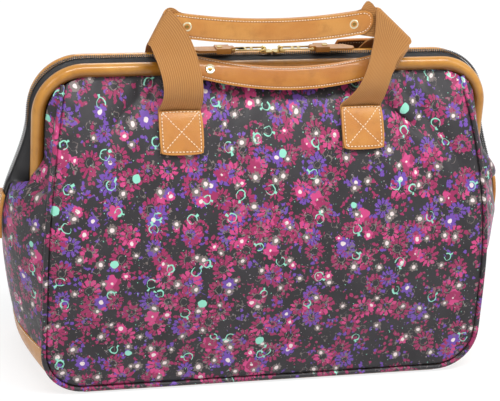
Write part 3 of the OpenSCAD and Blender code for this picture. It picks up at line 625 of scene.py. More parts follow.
def shaped_grid(cols, rows, place, flat):
    """A grid whose corner (u, v), each from 0 to 1, goes to place(u, v), with flat(u, v) as its cloth map."""
    bm = bmesh.new()
    bmesh.ops.create_grid(bm, x_segments=cols, y_segments=rows, size=0.5)
    layer = bm.loops.layers.uv.new("cloth")
    spot = {vert: (vert.co.x + 0.5, vert.co.y + 0.5) for vert in bm.verts}
    cloth_at = {vert: [MM*w for w in flat(*uv)] for vert, uv in spot.items()}
    for face in bm.faces:
        for loop in face.loops:
            loop[layer].uv = cloth_at[loop.vert]
    for vert, (u, v) in spot.items():
        vert.co = Vector(place(u, v))*MM
    bm.normal_update()
    return bm, spot


def soften(piece, width, segments, degrees):
    """Rounds the edges that are sharper than an angle."""
    edge = piece.modifiers.new("soft_edge", "BEVEL")
    edge.width = width*MM
    edge.segments = segments
    edge.limit_method = "ANGLE"
    edge.angle_limit = math.radians(degrees)


def thicken(piece, thick, bevel=0.0):
    solid = piece.modifiers.new("thickness", "SOLIDIFY")
    solid.thickness = thick*MM
    solid.offset = 0
    if bevel:
        soften(piece, bevel, 3, 50)
    return piece


def sheet_piece(name, node, bm, material, slot, thick, bevel=0.0, way=None):
    """A shaped sheet as a finished piece, its faces turned the way that it is seen from."""
    bmesh.ops.recalc_face_normals(bm, faces=bm.faces)
    made = finish_piece(name, bm, material, slot, node)
    if way and sum(p.normal.dot(way)*p.area for p in made.data.polygons) < 0:
        made.data.flip_normals()
    return thicken(made, thick, bevel)


def measured_area(piece):
    area = sum(p.area for p in piece.data.polygons)
    print(piece.name, "cloth area", round(area, 4))
    return area


# %% [markdown]
# ## Front and back panels
# The panels are gathered where they meet the frames, crease down and out from the handles, and swell at the
# middle. These folds are few and known, so they are written as sums of small waves. A simulation would
# move the handles' patches, which are sewn on.

# %% Panels
def loose(x, z):
    return 1 - bell((abs(x) - PATCH_GAP/2)/(0.7*PATCH_W))*bell((z - PATCH_TOP + PATCH_W/2)/(0.75*PATCH_W))


def gathers(x, z):
    down = panel_top - z
    return GATHER*math.exp(-down/48)*(1 - math.exp(-down/10))*(sind(360*x/64 + 40) + 0.6*sind(360*x/103))


def creases(x, z):
    return (-CREASE*bell(((x - 140) + 0.9*(z - 250))/15)*bell((x - 152)/32)
            + 0.6*CREASE*bell(((x + 158) - 0.7*(z - 262))/17)*bell((x + 168)/32))


def edge_distance(x, z):
    """How far a point of the panel lies inside its sewn edge."""
    x = abs(x)
    if z < corner_z and x > corner_x:
        return (CORNER_R - inset) - math.hypot(x - corner_x, corner_z - z)
    return min(panel_half(z) - x, z - (seam_foot + inset)) if z < panel_top - 30 else panel_half(z) - x


SHARP_FOLDS = (
    # middle x and z, lean, half length, half width, depth
    (137, 281, -38, 25, 4.6, -6.4), (167, 299, -38, 24, 7, 1.8), (178, 262, -48, 42, 6.5, -2.6),
    (196, 232, -58, 36, 6.0, -2.2), (205, 190, -70, 44, 8.0, 1.6), (-150, 285, 40, 30, 6.5, -2.6),
    (-178, 246, 52, 44, 8.0, -2.2), (-205, 180, 72, 46, 8.0, 1.5), (-60, 300, 75, 20, 6.0, -2.2),
    (-122, 300, 78, 18, 5.0, -2.4), (20, 304, -80, 22, 7.0, -2.4), (62, 300, -82, 18, 5.5, -2.0),
    (60, 272, -62, 34, 7.5, 1.3), (-30, 262, 66, 36, 8.0, 1.2), (120, 236, -50, 40, 9.0, 1.4),
    (0, 150, 12, 90, 22, 1.6), (-120, 110, -20, 70, 18, 1.3), (130, 120, 24, 70, 18, 1.3),
)


def folds_at(x, z, side):
    """Each sharp fold seen from a point: along and across it, its turn, half length, half width and depth."""
    for cx, cz, lean, long, wide, deep in SHARP_FOLDS:
        dx, dz, turn = x + side*cx, z - cz, -side*lean
        yield dx*cosd(turn) + dz*sind(turn), -dx*sind(turn) + dz*cosd(turn), turn, long, wide, deep


def fine_folds(x, z, side):
    """Pleats under the frame, puckers along the seam and slow waves over the whole cloth."""
    down = panel_top - z
    pleats = 1.4*math.exp(-down/22)*(1 - math.exp(-down/4))*sind(360*x/21 + 70*sind(360*x/150))
    edge = edge_distance(x, z)
    run = z if abs(x) > corner_x else x
    pucker = 0.55*bell((edge - 9)/7)*sind(360*run/26 + 40*side)
    slow = (1.3*sind(x*0.93 + z*0.55 + 30*side) * sind(z*1.35 - x*0.32 + 20)
            + 0.8*sind(x*2.1 - z*1.3 + 100)*sind(z*1.9 + 50))
    sharp = 0.0
    for a, b, _, long, wide, deep in folds_at(x, z, side):
        if abs(a) < 3*long and abs(b) < 3*wide:
            sharp += 1.6*deep*bell(a/long)*bell(b/wide)
    still = bell(edge/5)
    return (pleats + slow*ease(edge/40) + sharp*loose(x, z)*ease(edge/8))*(1 - still) + pucker


def slump(x, z, side):
    """How far the cloth above a deep crease slides down over it, in x and z."""
    dx = dz = 0.0
    for a, b, turn, long, wide, deep in folds_at(x, z, side):
        if deep < -2.5 and abs(a) < 3*long and abs(b) < 4*wide:
            slide = -0.8*deep*bell(a/long)*bell((b - 0.9*wide)/wide)*ease(edge_distance(x, z)/14)
            dx, dz = dx + slide*sind(turn), dz - slide*cosd(turn)
    return dx, dz


def panel_y(x, z):
    v, u = (panel_top - z)/(panel_top - seam_foot), x/panel_half(z)
    return (seam_y(z) + PUFF*(1 - u*u)*sind(180*clamp(v))
            + (1 - u*u)*loose(x, z)*(gathers(x, z) + creases(x, z)))


CLOTH_WALL, TUCK = 1.6, 1.5


def panel(side, word):
    foot = seam_foot + inset

    def spot(u, v):
        z = foot + (panel_top + TUCK - foot)*v
        return panel_half(min(z, panel_top))*(2*u - 1), z

    def place(u, v):
        x, z = spot(u, v)
        edge = edge_distance(x, z)
        seam = -2.6*bell(edge/1.7) - 0.7*bell((edge - 5.2)/0.9)
        y = panel_y(x, z) + fine_folds(x, z, side)*loose(x, z)
        dx, dz = slump(x, z, side)
        return x + dx*loose(x, z), side*(y + seam*(1 if z < panel_top - 20 else 0.2)), z + dz*loose(x, z)

    def flat(u, v):
        x, z = spot(u, v)
        return -side*x, z

    bm, _ = shaped_grid(190, 130, place, flat)
    made = finish_piece(f"{word}_cloth", bm, print_on_cloth, "printed_cloth", f"{word}_panel")
    if side > 0:
        made.data.flip_normals()
    area = measured_area(thicken(made, CLOTH_WALL))


for side, word in FACES:
    panel(side, word)

# %% [markdown]
# ## Side panels
# Each side panel runs from the front seam round to the back seam. Above the place where the frame's legs go in,
# it is slit: the zip runs down the slit, and each half turns in beside its leg. One grid makes it, and the faces
# of the slit are deleted.

# %% Side panels
slit_z = LEG_END - 1
gusset_inset = inset + 0.9
cloth_end = seam_top + 11


def leg_edge(z):
    angle = 45 + 90*clamp((z - slit_z - 10)/20)
    off = TUBE_D/2 + CLOTH_T/2 + 1 + 2*clamp((slit_z + 12 - z)/10)
    arch = bend_r - math.sqrt(bend_r**2 - (z - bend_z)**2) if z > bend_z else 0
    return frame_x - arch + off*cosd(angle)*(1.08 if arch > 0 else 1), frame_y + off*sind(angle)


DRAWN_IN, PUSHED_OUT, EAR = 7, -8, -10


def gusset_point(z, t, dent_deep):
    """t goes from 0 at the seam to 1 at the slit's edge."""
    if dent_deep < 0:
        dent_deep += EAR*bell((z - 216)/24)
    y0 = seam_y(z) - gusset_inset
    closed_t = t*8/9
    shut = Vector((lerp(seam_x(z), side_x(z), sind(90*closed_t)), y0*(1 - closed_t)))
    if z <= slit_z - 3:
        return shut
    edge = leg_edge(max(z, slit_z + 0.1))
    dent = dent_deep*sind(180*t)*(1 - clamp((z - slit_z)/(seam_top - slit_z))*0.8)
    split = Vector((lerp(seam_x(z), edge[0], t) - dent, lerp(y0, min(y0 - 1, edge[1]), t)))
    return shut.lerp(split, ease((z - slit_z + 3)/9))


def run_lengths(spots):
    """How far each point lies from the first, measured along the line."""
    runs = [0.0]
    for p, q in zip(spots, spots[1:]):
        runs.append(runs[-1] + (q - p).length)
    return runs


def cloth_across(z, half, dent_deep):
    """How far each column of half a side panel lies from the panel's middle, measured along the cloth."""
    spots = [gusset_point(z, k/half, dent_deep) for k in range(half + 1)]
    return run_lengths(spots), spots[-1].y


def side_panel(side, hand):
    cols, rows = 31, 92
    half = (cols - 1)//2
    low = CAP_TOP - 4
    heights = [lerp(low, cloth_end, j/rows) for j in range(rows + 1)]
    dent_deep = DRAWN_IN if side < 0 else PUSHED_OUT
    across = [cloth_across(z, half, dent_deep) for z in heights]
    slit_row = max(j for j, z in enumerate(heights) if z <= slit_z - 3)

    def column(u):
        k = round(u*cols)
        return (k, -1) if k <= half else (cols - k, 1)

    def place(u, v):
        z = lerp(low, cloth_end, v)
        k, way = column(u)
        t = k/half
        p = gusset_point(z, t, dent_deep)
        fold = (0.9*sind(z*3.1 + 60*t + 40*way)*sind(180*t) + 2.0*sind(180*t)*bell((z - 176 - 18*way*t)/11)
                - 1.9*sind(180*t)*bell((z - 120 + 30*t)/14))*ease((slit_z + 20 - z)/40)
        ripple = 0.5*sind(z*14 + 30*way)*bell(t/0.18)
        return side*(p.x + fold + ripple), side*way*p.y, z

    def flat(u, v):
        k, way = column(u)
        runs, _ = across[round(v*rows)]
        seam_runs, seam_left = across[min(round(v*rows), slit_row)]
        return way*(seam_runs[-1] + seam_left - runs[k]) + 20, lerp(low, cloth_end, v) + 37

    bm, spot = shaped_grid(cols, rows, place, flat)
    middle = [f for f in bm.faces if abs(sum(spot[v][0] for v in f.verts)/len(f.verts) - 0.5) < 0.4/cols
              and min(lerp(low, cloth_end, spot[v][1]) for v in f.verts) > slit_z - 1]
    bmesh.ops.delete(bm, geom=middle, context="FACES")
    made = sheet_piece(f"side_cloth_{hand}", f"gusset_{hand}", bm, print_on_cloth, "printed_cloth", CLOTH_WALL,
                       way=(side, 0, 0))
    min(0.044, measured_area(made)*0.98)


for side, hand in ENDS:
    side_panel(side, hand)

# %% [markdown]
# ## Cords that follow a line
# Piping, the tag's rim and other round edges are curves with a round bevel, turned into a mesh. A curve keeps its
# roundness through tight corners, which a lofted tube made by hand may not.

# %% Piping
def cord_mesh(points, radius, closed=False, sides=4):
    curve = bpy.data.curves.new("line", "CURVE")
    curve.dimensions = "3D"
    curve.bevel_depth = radius*MM
    curve.bevel_resolution = sides
    curve.use_fill_caps = True
    line = curve.splines.new("POLY")
    line.points.add(len(points) - 1)
    for spot, p in zip(line.points, points):
        spot.co = (p[0]*MM, p[1]*MM, p[2]*MM, 1)
    line.use_cyclic_u = closed
    holder = bpy.data.objects.new("line", curve)
    bpy.context.scene.collection.objects.link(holder)
    bpy.context.view_layer.update()
    mesh = bpy.data.meshes.new_from_object(holder.evaluated_get(bpy.context.evaluated_depsgraph_get()))
    bpy.data.objects.remove(holder)
    bm = bmesh.new()
    bm.from_mesh(mesh)
    bpy.data.meshes.remove(mesh)
    return bm


def seam_line(side):
    """The seam from one frame corner, down, along the foot and up to the other."""
    half, z = [], cloth_end + 1
    while z > corner_z:
        half.append((seam_x(z), side*seam_y(z), z))
        z -= 4
    for k in range(13):
        a = 90*k/12
        z = corner_z - CORNER_R*sind(a)
        half.append((corner_x + CORNER_R*cosd(a), side*seam_y(z), z))
    half += [(corner_x*(1 - k/15), side*seam_y(seam_foot), seam_foot) for k in range(1, 16)]
    return [(-x, y, z) for x, y, z in half] + half[-2::-1]


for side, word in FACES:
    finish_piece(f"cord_{word}", cord_mesh(seam_line(side), PIPING_D/2 - 0.1), print_on_piping, "printed_cloth",
                 f"piping_{word}")

# %% [markdown]
# ## Leather base and corner caps
# The base is a flat leather panel. A cap turns up from it at each end, its upper edge stitched to the cloth. The
# cap is one curved sheet, from the base round the bend and up the side.

# %% Caps
BASE_T, UNDER_BEND, CAP_W, CAP_L = 2.4, 0.75, 160, 90
base_edge = BODY_D/2 - inset


def cap(side, hand):
    def place(u, v):
        w = 2*u - 1
        if v < UNDER_BEND:
            a = 90 - 90*v/UNDER_BEND
            swell = (side_x(corner_z) - BODY_W/2)*cosd(90*w)*max(0.0, cosd(a))**1.5
            lift = abs(w)**6*(seam_foot - BASE_T/2)*0.3
            return (side*(corner_x + FIT + (CORNER_R - FIT)*cosd(a) + swell), side*base_edge*w,
                    corner_z - (corner_z - BASE_T/2 - lift)*sind(a))
        low = Vector(place(u, UNDER_BEND - 1e-4))
        z = CAP_TOP
        high = Vector((side*lerp(seam_x(z), side_x(z), cosd(90*w)), side*(seam_y(z) - inset)*w, z))
        return low.lerp(high, (v - UNDER_BEND)/(1 - UNDER_BEND))

    bm, _ = shaped_grid(40, 32, place, lambda u, v: (u*CAP_W, v*CAP_L))
    sheet_piece(f"cap_{hand}", f"corner_cap_{hand}", bm, tan_leather, "tan_leather", BASE_T, 0.5, (side, 0, 0))
    return place


cap_place = {hand: cap(side, hand) for side, hand in ENDS}

# %% [markdown]
# ## The zip
# Two tapes lie side by side over the mouth and run down both sides. They are black and satin, and curl down to
# the frames. Each carries a row of nylon teeth: small rounded bars, one about every two millimetres, placed along
# the tape's line and turned with it. The two rows are half a step apart, so they mesh.

# %% Zip line
def zip_drop(z):
    """How far the tape's edge sinks from its middle: down to the leg, and flat below the leg's end."""
    to_leg = mouth_x(z) - frame_x - 0.7*TUBE_D/2
    to_tube = tape_drop + 0.9*(mouth_x(z) - mouth_edge)
    return lerp(0.1, lerp(to_leg, to_tube, ease((z - slit_z - 14)/24)), ease((z - slit_z + 2)/5))


def tape_reach(z):
    """Half width of the tape, which turns in to meet the leg near its end."""
    near_leg = frame_y - 0.75*TUBE_D/2
    return lerp(tape_edge, near_leg, ease((z - slit_z + 2)/5)*(1 - ease((z - slit_z - 14)/24)))


def zip_line(end_z, step=3.0):
    """Points (x, z, outward x, outward z, drop) from one end of the zip to the other."""
    half, z = [], end_z
    while z < bend_z:
        slope = (mouth_x(z + 1) - mouth_x(z - 1))/2
        size = math.hypot(1, slope)
        half.append((mouth_x(z), z, 1/size, -slope/size, zip_drop(z)))
        z += step
    for k in range(25):
        a = 90*k/24
        half.append((bend_x + tape_r*cosd(a), bend_z + tape_r*sind(a), cosd(a), sind(a), tape_drop))
    half += [(bend_x*(1 - k/40), tape_top, 0, 1, tape_drop) for k in range(1, 41)]
    return [(-x, z, -ox, oz, d) for x, z, ox, oz, d in half] + half[-2::-1]


def walk(points, step, start):
    """Positions every step along a line: (index, share to the next point)."""
    left, found = start, []
    for k in range(len(points) - 1):
        a, b = Vector(points[k][:3]), Vector(points[k + 1][:3])
        size = (b - a).length
        while left <= size:
            found.append((k, left/size if size else 0))
            left += step
        left -= size
    return found


TAPE_W, TAPE_L = 10, 730
tape_line = zip_line(ZIP_END)


def zip_tape(side, word):
    n = len(tape_line) - 1

    def place(u, v):
        x, z, ox, oz, drop = tape_line[round(v*n)]
        wide = tape_reach(z) if z < bend_z else tape_edge
        y = lerp(0.9, wide, u)
        ridge = 0.35*bell((y - 4.1)/0.35)
        d = drop*(y/wide)**2 + ridge
        wave = 0.25*sind(v*n*31)*ease((y - 3)/4)
        return x - (d - wave)*ox, side*y, z - (d - wave)*oz

    bm, _ = shaped_grid(14, n, place, lambda u, v: (u*TAPE_W, v*TAPE_L))
    sheet_piece(f"tape_{word}", f"zip_tape_{word}", bm, black_tape, "zip_tape", TAPE_T*0.9, way=(0, 0, 1))


for side, word in FACES:
    zip_tape(side, word)

# %% [markdown]
# A coil zip is one bent nylon wire, of which only the rounded bars show. Each tooth is a stretched ball of few
# faces, because several hundred of them are needed.

# %% Zip teeth
coil_line = zip_line(ZIP_END + 8, 2.0)
coil_lift = TAPE_T/2 + COIL_D/2 + 0.05
TOOTH_STEP, TOOTH_HALF_L, TOOTH_Y = 2.1, 1.55, 1.75


def bead(bm, at, spin, half, around=6, rings=4):
    """A small ball with three half sizes, turned by a matrix and set in its place."""
    bmesh.ops.create_uvsphere(bm, u_segments=around, v_segments=rings, radius=1, matrix=Matrix.Scale(MM, 4)
                              @ Matrix.Translation(at) @ spin.to_4x4() @ Matrix.Diagonal((*half, 1)))


def zip_teeth(side, word):
    bm = bmesh.new()
    line = [(x, 0, z) for x, z, *_ in coil_line]
    for k, share in walk(line, TOOTH_STEP, 0 if side < 0 else TOOTH_STEP/2):
        a, b = coil_line[k], coil_line[k + 1]
        x, z, ox, oz = (lerp(a[i], b[i], share) for i in range(4))
        out = Vector((ox, 0, oz)).normalized()
        along = Vector((b[0] - a[0], 0, b[1] - a[1])).normalized()
        at = Vector((x, 0, z)) + out*coil_lift + Vector((0, side*TOOTH_Y, 0))
        bead(bm, at, Matrix((along, (0, side, 0), out)).transposed(),
             (TOOTH_STEP*0.36, TOOTH_HALF_L, COIL_D/2 - 0.05))
    finish_piece(f"teeth_{word}", bm, grey_coil, "zip_coil", f"zip_coil_{word}")


for side, word in FACES:
    zip_teeth(side, word)

# %% [markdown]
# ## Stitches
# A stitch is a short, thick thread that sinks into the leather at both ends. Each one is a stretched ball, set
# along the seam and turned with it, since a bump in a material would not stand out like thread.

# %% Stitches
def sew(name, runs, step=3.6, length=2.8, width=1.1, slot="tan_leather"):
    """Rows of stitches. A run is a list of (point, outward) pairs in millimetres."""
    bm = bmesh.new()
    for run in runs:
        for k, share in walk([p for p, _ in run], step, step/2):
            p, q = Vector(run[k][0]), Vector(run[k + 1][0])
            out = Vector(run[k][1]).lerp(Vector(run[k + 1][1]), share).normalized()
            along = (q - p).normalized()
            out = (out - along*out.dot(along)).normalized()
            spin = Matrix((along, out.cross(along), out)).transposed()
            bead(bm, p.lerp(q, share), spin, (length/2, width/2, width*0.38))
    finish_piece(name, bm, cream_thread, slot)


def surface_run(place, path, lift, e=0.01):
    """A run over a surface: path gives (u, v) spots, lift how far the thread stands on it."""
    run = []
    for u, v in path:
        across = Vector(place(min(u + e, 1), v)) - Vector(place(max(u - e, 0), v))
        up = Vector(place(u, min(v + e, 1))) - Vector(place(u, max(v - e, 0)))
        out = across.cross(up).normalized()
        run.append((Vector(place(u, v)) + out*lift, out))
    return run


def between(a, b, n):
    return [(lerp(a[0], b[0], k/n), lerp(a[1], b[1], k/n)) for k in range(n + 1)]


def border(low, high, across, up):
    """A closed path round a rectangle, in so many steps across and up."""
    (a, b), (c, d) = low, high
    path = between((a, b), (c, b), across)[:-1] + between((c, b), (c, d), up)[:-1]
    return path + between((c, d), (a, d), across)[:-1] + between((a, d), (a, b), up)


# %% [markdown]
# ## Leather tabs over the zip's ends
# A tab is folded over each lower end of the zip and sewn down. It is a small curved sheet with stitches round its
# edge.

# %% Zip end tabs
END_TAB_W, END_TAB_L = 20, 48


def end_tab(side, hand):
    off = TAPE_T/2 + 3*FIT + 1.8

    def place(u, v):
        w = 2*u - 1
        z = lerp(ZIP_END + 6 - END_TAB_L, ZIP_END + 6, v)
        mid = mouth_x(z) if z > BULGE_Z else side_x(z) + ZIP_RISE
        return side*(mid + off - 0.9*w*w), side*END_TAB_W/2*w, z

    bm, _ = shaped_grid(10, 22, place, lambda u, v: (u*END_TAB_W, v*END_TAB_L))
    sheet_piece(f"end_tab_{hand}", f"zip_end_{hand}", bm, tan_leather, "tan_leather", 3.4, 0.9, (side, 0, 0))
    sew(f"end_tab_{hand}_thread", [surface_run(place, border((0.13, 0.05), (0.87, 0.95), 6, 12), 1.9)])


for side, hand in ENDS:
    end_tab(side, hand)
for hand, place in cap_place.items():
    sew(f"cap_thread_{hand}", [surface_run(place, between((0.03, 0.93), (0.97, 0.93), 40), 1.35)])

# %% [markdown]
# ## Handles
# Each handle is one length of webbing. It leaves its patch, rises, folds over at a slant, runs behind the leather
# grip, folds again and comes down. The way it takes over the bag is a list of side-view points, about one every
# 12 mm, and the handle's flat pattern is laid along it, so that patches, webbing, grips and stitches share one
# drape.

# %% Drape
STEP_D = 12
web_off = CLOTH_T/2 + WEB_T/2 + 0.75
FRONT_WAY = [(46.8, 301), (51.5, 312.2), (52.2, 324.2), (49.6, 336.1), (46.2, 348), (44, 360), (42.6, 372),
             (41.6, 384), (40.8, 396), (40, 408), (40, 420)]
BACK_WAY = [(34.8, 301.5), (31, 313), (28, 324.7), (22.8, 335.8), (13.2, 343.3), (1.2, 346.2), (-10.8, 345.8),
            (-22.8, 341.2), (-32.1, 332.3), (-38, 321.4), (-41.9, 309.9), (-45, 298.1)]


def way(side, x):
    near = math.copysign(clamp(abs(x), PATCH_GAP/2 - PATCH_W/2, PATCH_GAP/2 + PATCH_W/2), x)
    heights = [PATCH_TOP + k*STEP_D*0.9 for k in range(-5, 1)]
    return [(panel_y(near, z) + web_off, z) for z in heights] + (FRONT_WAY if side < 0 else BACK_WAY)


def smooth_way(points, t):
    k = int(clamp(math.floor(t), 0, len(points) - 2))
    f = t - k
    a, b, c, d = (Vector(points[int(clamp(k + j, 0, len(points) - 1))]) for j in (-1, 0, 1, 2))
    return 0.5*(2*b + (c - a)*f + (2*a - 5*b + 4*c - d)*f*f + (3*b - a - 3*c + d)*f*f*f)


def drape(side, x, d, h):
    """Point of a handle laid flat: x along the bag, d up the webbing, h out of its face."""
    points, t = way(side, x), d/STEP_D + 5
    q = smooth_way(points, t)
    run = (smooth_way(points, t + 0.1) - smooth_way(points, t - 0.1)).normalized()
    return Vector((x, side*(q.x + h*run.y), q.y - h*run.x))


def draped_run(side, spots, facing=1):
    """A run of stitches over a handle laid flat: spots are (x, d, h), facing is the side they stand out from."""
    run = []
    for x, d, h in spots:
        p = drape(side, x, d, h)
        run.append((p, drape(side, x, d, h + facing) - p))
    return run


# %% [markdown]
# The flat pattern says where the grip's middle is, where the folds lie and how the webbing's edges bend on their
# way up. The stations below are pairs of edge points; the webbing is the strip between them.

# %% Flat pattern of a handle
def handle_mid(side):
    return -6 if side < 0 else 22


def grip_d(side, x):
    u = (x - handle_mid(side))/(RIVET_GAP/2)
    return 89 - 6*(1 - u*u) if side < 0 else 110 + 11*(1 - u*u)


def grip_spot(side, x, w, h):
    """A spot of the grip on the flat pattern, x along and w across from its middle."""
    gx = handle_mid(side) + x
    return gx, grip_d(side, gx) + w, h


FOLD_LOW = {(-1, -1): (-129, 71), (-1, 1): (141, 69), (1, -1): (-116, 90), (1, 1): (150, 84)}
FOLD_TOP = {(-1, -1): (-111, 107), (-1, 1): (101.4, 104.4), (1, -1): (-106, 130), (1, 1): (122, 120)}
BEND_LOW = {(-1, -1): (-108, 30), (-1, 1): (115, 48), (1, -1): (-120, 50), (1, 1): (158, 35)}
BEND_TOP = {(-1, -1): (-74, 75), (-1, 1): (108, 55), (1, -1): (-81, 80), (1, 1): (135, 45)}
PUCKER = {(-1, -1): 1.8, (-1, 1): 7.8, (1, -1): 1.8, (1, 1): 1.8}
layer = WEB_T + GRIP_T + 1.9
ply_gap = 0.5
flare_x = RIVET_GAP/2 + 8
UNDER_PATCH, RISER_STEPS = 1.9, 54
grip_h = -layer + WEB_T/2 + GRIP_T/2 + ply_gap
lining_h = -layer - WEB_T/2 - GRIP_T/2 - ply_gap


def bezier(a, b, c, t):
    return (1 - t)*(1 - t)*Vector(a) + 2*t*(1 - t)*Vector(b) + t*t*Vector(c)


def riser_edge(side, s, t, low):
    x0 = s*(PATCH_GAP/2 + (WEB_W/2 if low else -WEB_W/2))
    if t < 0:
        return Vector((x0, t*PATCH_W/2))
    bend, fold = (BEND_LOW, FOLD_LOW) if low else (BEND_TOP, FOLD_TOP)
    return bezier((x0, 0), bend[side, s], fold[side, s], t)


def half_stations(side, s):
    lo, hi = Vector(FOLD_LOW[side, s]), Vector(FOLD_TOP[side, s])
    out = Vector((abs(hi.y - lo.y), -(hi.x - lo.x) if s < 0 else lo.x - hi.x)).normalized()
    push = Vector((s*abs(out.x), out.y))
    fx = handle_mid(side) + s*flare_x
    flare_lo = Vector((fx, grip_d(side, fx) - GRIP_W/2 - 1))
    flare_hi = Vector((fx, grip_d(side, fx) + GRIP_W/2 + 1))
    found = []
    for k in range(RISER_STEPS + 1):
        t = (UNDER_PATCH + 1)*k/RISER_STEPS - UNDER_PATCH
        found.append((riser_edge(side, s, t, True), riser_edge(side, s, t, False), 0.0))
    for a in range(15, 180, 15):
        found.append((lo + layer/2*sind(a)*push, hi + layer/2*sind(a)*push, layer/2*(cosd(a) - 1)))
    for k in range(9):
        rise = Vector((0, PUCKER[side, s]*sind(180*k/8)))
        found.append((lo.lerp(flare_lo, k/8), hi.lerp(flare_hi, k/8) + rise, -layer))
    return found


# %% [markdown]
# The webbing is one grid, bent station by station, so that each fold is a true fold. Thicker edges and a slight
# pucker beside the grip show that it is woven and has been sewn.

# %% Webbing
def handle_webbing(side, word):
    """Its small forms are placed by stations, counted from the nearer end of the webbing."""
    middle = []
    for k in range(-11, 12):
        x = handle_mid(side) + k/12*flare_x
        middle.append([Vector((x, grip_d(side, x) + hand*(GRIP_W/2 - 0.6))) for hand in (-1, 1)] + [-layer])
    stations = half_stations(side, -1) + middle + half_stations(side, 1)[::-1]
    n = len(stations) - 1
    runs = run_lengths([drape(side, *a.lerp(b, 0.5), h) for a, b, h in stations])

    def place(u, v):
        k = round(v*n)
        end = min(k, n - k)
        lo, hi, h = stations[k]
        rise = clamp(end/18)*0.35*sind(360*u*1.5 + 60)*bell((end - 30)/14)
        selvage = 0.22*(bell(u/0.045) + bell((1 - u)/0.045))
        turned = bell((end - 60)/3.5)
        q = lo.lerp(hi, u) + (hi - lo).normalized()*4.2*turned*(bell(u/0.15) - bell((1 - u)/0.15))
        return drape(side, q.x, q.y, h + rise + selvage*(1 if h > -0.5*layer else -1))

    bm, _ = shaped_grid(24, n, place, lambda u, v: (u*WEB_W, runs[round(v*n)]))
    sheet_piece(f"handle_webbing_{word}", f"webbing_{word}", bm, tan_webbing, "webbing", WEB_T*0.85, 0.35)


for side, word in FACES:
    handle_webbing(side, word)

# %% [markdown]
# ## Grips
# A grip is two leather strips with round ends. The outer one is a little crowned from the stuffing, and a line of
# cream stitches runs round it, a little over two millimetres inside its edge.

# %% Grips
THREAD_IN = 2.3


def grip_rim(reach, round_r):
    """Half widths of the strip from end to end: (x, half width)."""
    straight = reach - round_r
    half = [(straight + round_r*cosd(a), round_r*sind(a)) for a in range(6, 90, 7)]
    half += [(straight*(1 - k/16), round_r) for k in range(16)]
    return [(-x, w) for x, w in half] + [(0, round_r)] + [(x, w) for x, w in reversed(half)]


def grip_strip(side, name, node, h, width, crown, facing):
    rim = grip_rim(GRIP_L/2, width/2)
    n = len(rim) - 1

    def place(u, v):
        x, w = rim[round(v*n)]
        e = 2*u - 1
        rise = crown*(1 - e*e)*min(1.0, w/(width/2)) - 0.5*crown*bell((abs(e)*w - width/2 + 2.6)/0.8)
        return drape(side, *grip_spot(side, x, w*e, h + facing*rise))

    bm, _ = shaped_grid(18, n, place, lambda u, v: (u*GRIP_W, v*GRIP_L))
    # The back grip's darker leather is painted shade.
    sheet_piece(name, node, bm, grip_leather if side < 0 else back_grip_painted_shade, "tan_leather", GRIP_T*0.95, 0.6)


def grip_thread(side, name, h, facing):
    inner, straight = GRIP_W/2 - THREAD_IN, GRIP_L/2 - GRIP_W/2
    line = between((straight, inner), (-straight, inner), 20)
    line += [(-straight - inner*sind(a), inner*cosd(a)) for a in range(10, 180, 10)]
    line += between((-straight, -inner), (straight, -inner), 20)
    line += [(straight + inner*sind(a), -inner*cosd(a)) for a in range(10, 181, 10)]
    run = draped_run(side, [grip_spot(side, x, w, h) for x, w in line], facing)
    sew(name, [run], step=2.9, length=2.2, width=1.0)


for side, word in FACES:
    grip_strip(side, f"grip_{word}_strip", f"grip_{word}", grip_h, GRIP_W, 0.8, 1)
    grip_strip(side, f"grip_{word}_under", f"grip_lining_{word}", lining_h, GRIP_W - 1, 0.2, -1)
    grip_thread(side, f"grip_{word}_thread", grip_h + GRIP_T/2 + 0.1, 1)
    grip_thread(side, f"grip_{word}_under_thread", lining_h - GRIP_T/2 - 0.05, -1)

# %% [markdown]
# The rivets' rings are solids already. A small dark dome is set in the middle of each ring.

# %% Rivets
def rivet_core(side, s, name):
    """A small dark dome that fills the middle of a rivet's ring."""
    seat = grip_h + GRIP_T/2 + (0.15 if side < 0 else 0.3) + 0.35
    (p, out), = draped_run(side, [grip_spot(side, s*RIVET_GAP/2, 0, seat)])
    bm = bmesh.new()
    bead(bm, p, out.normalized().to_track_quat("Z", "Y").to_matrix(), (2.1, 2.1, 0.55), 20, 10)
    finish_piece(name, bm, dark_gold, "gold_metal")


for side, word in FACES:
    for s, hand in ENDS:
        rivet_core(side, s, f"rivet_core_{word}_{hand}")

# %% [markdown]
# ## Patches
# A square of leather covers each end of the webbing, sewn with a border and a cross.

# %% Patches
GROOVE_AT, THREAD_AT = 0.87, 0.86


def patch(side, s, word, hand):
    mid = WEB_T/2 + 0.75 + PATCH_T/2
    top = mid + PATCH_T/2 + 0.05

    def spot(a, b, h, pressed):
        """a across and b up, from -1 to 1: corners rounded, middle crowned, pressed under the stitches."""
        k = PATCH_W/2*(1 - 0.075*(a*a*b*b)**1.5)
        edge = max(abs(a), abs(b))
        rise = 0.25*(1 - edge**4) - pressed*bell((edge - GROOVE_AT)/0.035)
        return s*PATCH_GAP/2 - side*k*a, -PATCH_W/2 + k*b, h + rise

    bm, _ = shaped_grid(26, 26, lambda u, v: drape(side, *spot(2*u - 1, 2*v - 1, mid, 0.28)),
                        lambda u, v: (u*PATCH_W, v*PATCH_W))
    sheet_piece(f"square_{word}_{hand}", f"patch_{word}_{hand}", bm, patch_leather, "tan_leather",
                PATCH_T*0.95, 0.6, (0, side, 0))
    m = THREAD_AT
    paths = border((-m, -m), (m, m), 10, 10), between((-m, -m), (m, m), 20), between((-m, m), (m, -m), 20)
    sew(f"square_{word}_{hand}_thread",
        [draped_run(side, [spot(a, b, top, 0.2) for a, b in path]) for path in paths])


for side, word in FACES:
    for s, hand in ENDS:
        patch(side, s, word, hand)
